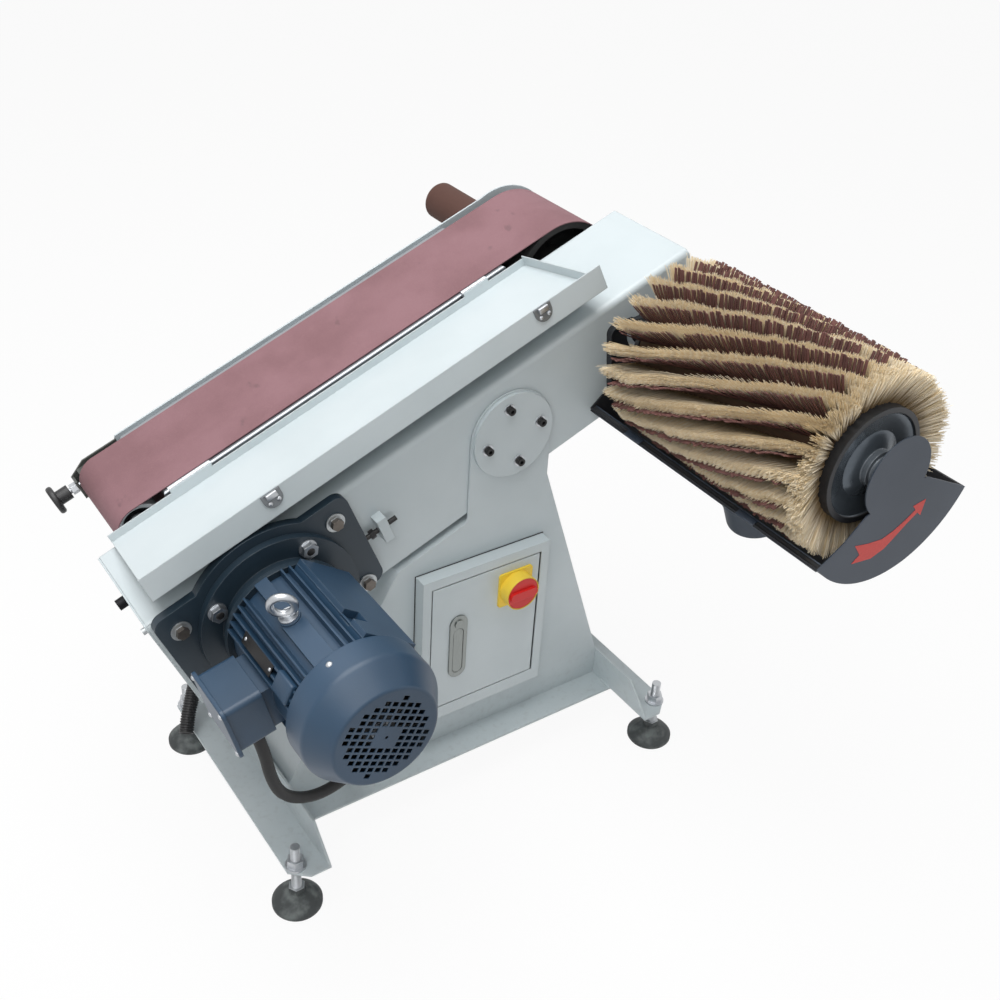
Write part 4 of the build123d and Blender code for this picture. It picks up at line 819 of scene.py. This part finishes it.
motor_paint = enamel("motor_paint", colour(43, 70, 95), colour(35, 59, 81), colour(92, 106, 118),
                     0.36, peel=0.00008, radius=0.0018)
dress(plate_paint, "motor_end_shields")
dress(motor_paint, "motor_frame", "fan_cover", "terminal_box", "terminal_lid")
dress(zinc, "flange_bolts", "eye_bolt")
dress(moulded_black, "motor_fan")


# Domed heads: the ends of the four flange bolts, and four plated pan head screws at the corners of
# the terminal lid.

motor_axis_place = arm_place @ Matrix.Translation((motor_centre[0], 0, motor_centre[1]))
terminal_place = motor_axis_place @ Matrix.Rotation(radians(-172), 4, "Y")


def screw_set(name, places, radius, height, finish, body):
    heads = bmesh.new()
    for at in places:
        head = bmesh.new()
        bmesh.ops.create_uvsphere(head, u_segments=20, v_segments=10, radius=radius)
        bmesh.ops.bisect_plane(head, geom=everything(head), plane_co=(0, 0, 0),
                               plane_no=(0, 0, -1), clear_outer=True)
        bmesh.ops.scale(head, verts=head.verts[:], vec=(1, 1, height / radius))
        move(head, at)
        join(heads, head)
    made(name, heads, finish, body, 40)


bolt_circle, bolt_face = 0.1075, -0.1199
bolt_ends = [motor_axis_place @ Matrix.Translation(
                 (bolt_circle * cos(turn), bolt_face, bolt_circle * sin(turn))) @ facing_front
             for turn in (pi / 4, 3 * pi / 4, 5 * pi / 4, 7 * pi / 4)]
screw_set("flange_bolt_ends", bolt_ends, 0.0062, 0.0018, black_oxide, "motor")

lid_face, lid_reach = 0.160, 0.039
lid_screws = [terminal_place @ Matrix.Translation((lid_face, y, w)) @ turn_out
              for y in (-0.260, -0.172) for w in (-lid_reach, lid_reach)]
screw_set("terminal_lid_screws", lid_screws, 0.0042, 0.0026, zinc, "motor")


# Motor trim: a blank rating plate riveted across the fins, a cast lug beside it at the cowl end,
# and the plated screw that holds the fan cowl.

plate_turn = motor_axis_place @ Matrix.Rotation(radians(-132), 4, "Y")
rating = bmesh.new()
block(rating, (0.0010, 0.084, 0.018), (0.1006, -0.219, 0))
soften(rating, 0.0003, 2)
move(rating, plate_turn)
made("rating_plate", rating, black_oxide, "motor", 40)

lug = bmesh.new()
block(lug, (0.014, 0.040, 0.030), (0.0975, -0.296, 0))
soften(lug, 0.003, 3)
move(lug, plate_turn)
made("frame_lug", lug, motor_paint, "motor", 40)

rivets = [plate_turn @ Matrix.Translation((0.1010, y, 0)) @ turn_out for y in (-0.256, -0.184)]
screw_set("rating_rivets", rivets, 0.0028, 0.0014, zinc, "motor")
cowl_turn = motor_axis_place @ Matrix.Rotation(radians(-93.6), 4, "Y")
cowl_screw = cowl_turn @ Matrix.Translation((0.1016, -0.335, 0)) @ turn_out
screw_set("cowl_screw", [cowl_screw], 0.0048, 0.0028, zinc, "motor")


# Tension screw and idler: a plated thread with a black moulded knob, and a turned alloy roller with
# a bright rim on a sliding block that tightens the sanding belt.

alloy, alloy_shader, place = new_finish("turned_alloy", metallic=1.0)
lathe = blotch(stretch(place, 1, 9, 1), 260, 3)
roller_axis = arm_place @ Vector((idler_centre[0], 0, idler_centre[1]))
reach = place.node("VectorMath", {"operation": "DISTANCE"},
                   {0: stretch(place, 1, 0, 1), 1: (roller_axis.x, 0, roller_axis.z)}, "Value")
rim = rise(reach, 0.0316, 0.0322)
cup = rise(reach, 0.0166, 0.0172) * (1 - rise(reach, 0.0256, 0.0262))
roller_face = tint(cup, tint(lathe, colour(176, 179, 183), colour(150, 154, 158)),
                   colour(40, 40, 42))
lay(alloy_shader, {
    "Base Color": tint(rim, roller_face, tint(lathe, colour(238, 240, 242), colour(214, 217, 220))),
    "Metallic": 1 - 0.6 * rim,
    "Roughness": 0.3 + 0.2 * lathe,
    "Normal": relief(lathe, 0.00002, round_edge(place, 0.001)),
})
dress(alloy, "idler_roller")
dress(steel, "idler_block")

knob_finish, knob_shader, place = new_finish("tension_knob")
plated = rise(up_the_arm(place), -0.2540, -0.2534)
knob_grain = blotch(place, 500, 3)
lay(knob_shader, {
    "Base Color": tint(plated, tint(knob_grain, colour(24, 24, 25), colour(40, 40, 42)),
                       colour(190, 193, 196)),
    "Metallic": plated,
    "Roughness": 0.34 + 0.2 * knob_grain,
    "Normal": relief(knob_grain, 0.00004, round_edge(place, 0.0014)),
})
dress(knob_finish, "tension_knob")


# Belt cover: a folded sheet tray that is hinged along the front edge of the belt and lies open on
# top of the arm. Two plated keepers for its latches are screwed to its lip.

dress(grey_enamel, "cover_tray")
dress(zinc, "cover_hinge_leaves", "cover_hinges")

keeper_steel = grained("keeper_steel", colour(138, 142, 145), colour(112, 116, 119), scale=150,
                       detail=3, roughness=0.34, rougher=0.2, depth=0.00003, edge=0.0008,
                       metallic=0.7)
dress(keeper_steel, "latch_keepers")

keeper_stations, screw_offset = (-0.3665, 0.110), 0.007
cover_hinge = Matrix.Translation((0, 0.118, 0.1195))
cover_place = arm_place @ cover_hinge @ Matrix.Rotation(radians(169.7), 4, "X")
facing_back = Matrix.Rotation(radians(-90), 4, "X")
keeper_screws = [cover_place @ Matrix.Translation((s + side * screw_offset, 0.2158, -0.006))
                 @ facing_back for s in keeper_stations for side in (-1, 1)]
hooks = bmesh.new()
for s in keeper_stations:
    block(hooks, (0.017, 0.0048, 0.009), (s, 0.2182, -0.0175))
soften(hooks, 0.0012, 3)
move(hooks, cover_place)
made("keeper_hooks", hooks, zinc, "cover", 40)
screw_set("keeper_screws", keeper_screws, 0.0035, 0.0022, zinc, "cover")


# Motor lead: a black rubber cable from the gland of the terminal box to a gland in the side of the
# pedestal. It hangs in a slack bow that lets the arm tilt.


def route_line(name, points):
    line = bpy.data.curves.new(name, "CURVE")
    line.dimensions = "3D"
    line.resolution_u = 10
    spline = line.splines.new("NURBS")
    spline.points.add(len(points) - 1)
    for knot, point in zip(spline.points, points):
        knot.co = (*point, 1)
    spline.order_u = 3
    spline.use_endpoint_u = True
    return bpy.data.objects.new(name, line)


def settled_mesh(item):
    bpy.context.view_layer.update()
    depsgraph = bpy.context.evaluated_depsgraph_get()
    return bpy.data.meshes.new_from_object(item.evaluated_get(depsgraph))


def laid_out(route):
    scene_objects.link(route)
    mesh = settled_mesh(route)
    scene_objects.unlink(route)
    return mesh


def cord_piece(name, mesh, finish):
    mesh.name = name
    mesh.materials.clear()
    mesh.materials.append(finish)
    mesh.shade_smooth()
    piece = bpy.data.objects.new(name, mesh)
    scene_objects.link(piece)
    return piece


lead_route = [(-0.4255, -0.2000, 0.4096), (-0.4146, -0.2000, 0.3670), (-0.4059, -0.1960, 0.3090),
              (-0.3909, -0.1900, 0.2640), (-0.3629, -0.1820, 0.2290), (-0.3249, -0.1740, 0.2070),
              (-0.2854, -0.1668, 0.2030), (-0.2446, -0.1566, 0.2080), (-0.2139, -0.1343, 0.2140),
              (-0.1989, -0.1060, 0.2180), (-0.1989, -0.0780, 0.2180)]
lead_line = route_line("lead_line", lead_route)
lead_path = [vert.co.copy() for vert in laid_out(lead_line).vertices]
lead_line.data.bevel_depth = 0.009
lead_line.data.bevel_resolution = 5
lead_line.data.use_fill_caps = True
jacket = grained("cable_jacket", colour(10, 10, 11), colour(22, 22, 23), scale=260, detail=4,
                 roughness=0.55, rougher=0.2, depth=0.0001)
motor_cable = cord_piece("motor_cable", laid_out(lead_line), jacket)
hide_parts("motor_lead")
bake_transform(motor_cable)


# Supply conduit: a ribbed black plastic hose that leaves the back of the pedestal and runs down
# beside the rear foot, where it is cut off square for the mains cable to come out.

conduit_route = [(-0.1369, 0.1590, 0.2050), (-0.1369, 0.1980, 0.2050), (-0.1509, 0.2350, 0.2040),
                 (-0.1769, 0.2650, 0.2020), (-0.2129, 0.2830, 0.1980), (-0.2529, 0.2860, 0.1910),
                 (-0.2909, 0.2740, 0.1820), (-0.3249, 0.2530, 0.1700), (-0.3519, 0.2240, 0.1540),
                 (-0.3749, 0.1960, 0.1330), (-0.3909, 0.1780, 0.1140), (-0.4029, 0.1600, 0.0960)]
conduit_line = route_line("conduit_line", conduit_route)
conduit_path = [vert.co.copy() for vert in laid_out(conduit_line).vertices]
conduit_length = sum((b - a).length for a, b in zip(conduit_path, conduit_path[1:]))
rib_count, crest, valley, rib_sides = 96, 0.0125, 0.0109, 24
rib_pitch = conduit_length / rib_count
rib_turns = [2 * pi * step / rib_sides for step in range(rib_sides)]
rib = bmesh.new()
rings = [[rib.verts.new((rib_pitch * share, radius * sin(turn), radius * cos(turn)))
          for turn in rib_turns]
         for share, radius in
         ((0.0, valley), (0.22, valley), (0.36, crest), (0.84, crest), (1.0, valley))]
for near, far in zip(rings, rings[1:]):
    for step in range(rib_sides):
        rib.faces.new((near[step], near[step - 1], far[step - 1], far[step]))
rib_mesh = bpy.data.meshes.new("conduit_rib")
rib.to_mesh(rib_mesh)
rib.free()
conduit = bpy.data.objects.new("conduit_rib", rib_mesh)
scene_objects.link(conduit)
scene_objects.link(conduit_line)
row = conduit.modifiers.new("ribs", "ARRAY")
row.count = rib_count
row.use_merge_vertices = True
row.merge_threshold = 0.0001
wall = conduit.modifiers.new("wall", "SOLIDIFY")
wall.thickness = 0.0016
wall.offset = -1
bent = conduit.modifiers.new("bent", "CURVE")
bent.object = conduit_line
hose_mesh = settled_mesh(conduit)
bpy.data.objects.remove(conduit)
scene_objects.unlink(conduit_line)
hose_plastic = grained("hose_plastic", colour(18, 18, 19), colour(38, 38, 39), scale=90, detail=4,
                       roughness=0.36, rougher=0.2, depth=0.00005)
hose = cord_piece("ribbed_hose", hose_mesh, hose_plastic)
hose_mesh.set_sharp_from_angle(angle=radians(50))
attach(hose, "stand")
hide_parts("supply_conduit")


# Studio: a white floor that keeps a soft shadow, a white surround, three soft boxes, and the camera
# at the height and angle from which the machine was photographed.


def seen_directly(start):
    seen = start.node("LightPath", {}, {}, "Is Camera Ray")
    for ray in ("Is Glossy Ray", "Is Transmission Ray"):
        seen = seen.math("MAXIMUM", seen, start.node("LightPath", {}, {}, ray))
    return seen


floor_half, floor_white, dim_surround = 15, 0.93, 0.31
floor_shape = bmesh.new()
bmesh.ops.create_grid(floor_shape, x_segments=1, y_segments=1, size=floor_half)
floor_mesh = bpy.data.meshes.new("studio_floor")
floor_shape.to_mesh(floor_mesh)
floor_shape.free()
floor = bpy.data.objects.new("studio_floor", floor_mesh)
scene_objects.link(floor)
floor_finish = bpy.data.materials.new("studio_floor")
floor_finish.use_nodes = True
floor_tree = floor_finish.node_tree
floor_shader = floor_tree.nodes["Principled BSDF"]
floor_shader.inputs["Base Color"].default_value = (0.86, 0.86, 0.86, 1)
floor_shader.inputs["Roughness"].default_value = 0.9
floor_shader.inputs["Specular IOR Level"].default_value = 0.1
start = Coat(floor_tree)
white = start.node("Emission", {}, {"Color": (1, 1, 1, 1), "Strength": 1.0})
mixed = start.node("MixShader", {}, {0: floor_white * seen_directly(start),
                                     1: Coat(floor_tree, floor_shader.outputs[0]), 2: white})
floor_tree.links.new(mixed.socket, floor_tree.nodes["Material Output"].inputs["Surface"])
floor_mesh.materials.append(floor_finish)

surround = bpy.data.worlds.new("white_surround")
surround.use_nodes = True
bpy.context.scene.world = surround
backdrop = surround.node_tree.nodes["Background"]
glow = dim_surround + (1 - dim_surround) * seen_directly(Coat(surround.node_tree))
surround.node_tree.links.new(glow.socket, backdrop.inputs["Strength"])
backdrop.inputs["Color"].default_value = (1, 1, 1, 1)

for lamp_name, at, aim, watts, size in (
        ("top_box", (-0.6, 0.1, 3.2), (0, 0, 0.6), 83, 2.4),
        ("front_box", (-1.7, -1.8, 2.6), (-0.1, 0, 0.6), 20, 1.8),
        ("right_box", (2.6, -1.6, 1.6), (0.2, 0, 0.5), 8, 1.6)):
    lamp = bpy.data.lights.new(lamp_name, "AREA")
    lamp.energy = watts
    lamp.size = size
    lamp_object = bpy.data.objects.new(lamp_name, lamp)
    lamp_object.location = at
    lamp_object.rotation_euler = (Vector(at) - Vector(aim)).to_track_quat("Z", "Y").to_euler()
    scene_objects.link(lamp_object)

lens = bpy.data.cameras.new("photo_camera")
lens.sensor_width = 36
lens.lens = 45.58
camera = bpy.data.objects.new("photo_camera", lens)
camera.location = (-0.919638, -1.39941, 1.65613)
camera.rotation_euler = (radians(56.3115), radians(-3.1716), radians(-34.2678))
scene_objects.link(camera)
bpy.context.scene.camera = camera
bpy.context.scene.view_settings.view_transform = "Standard"
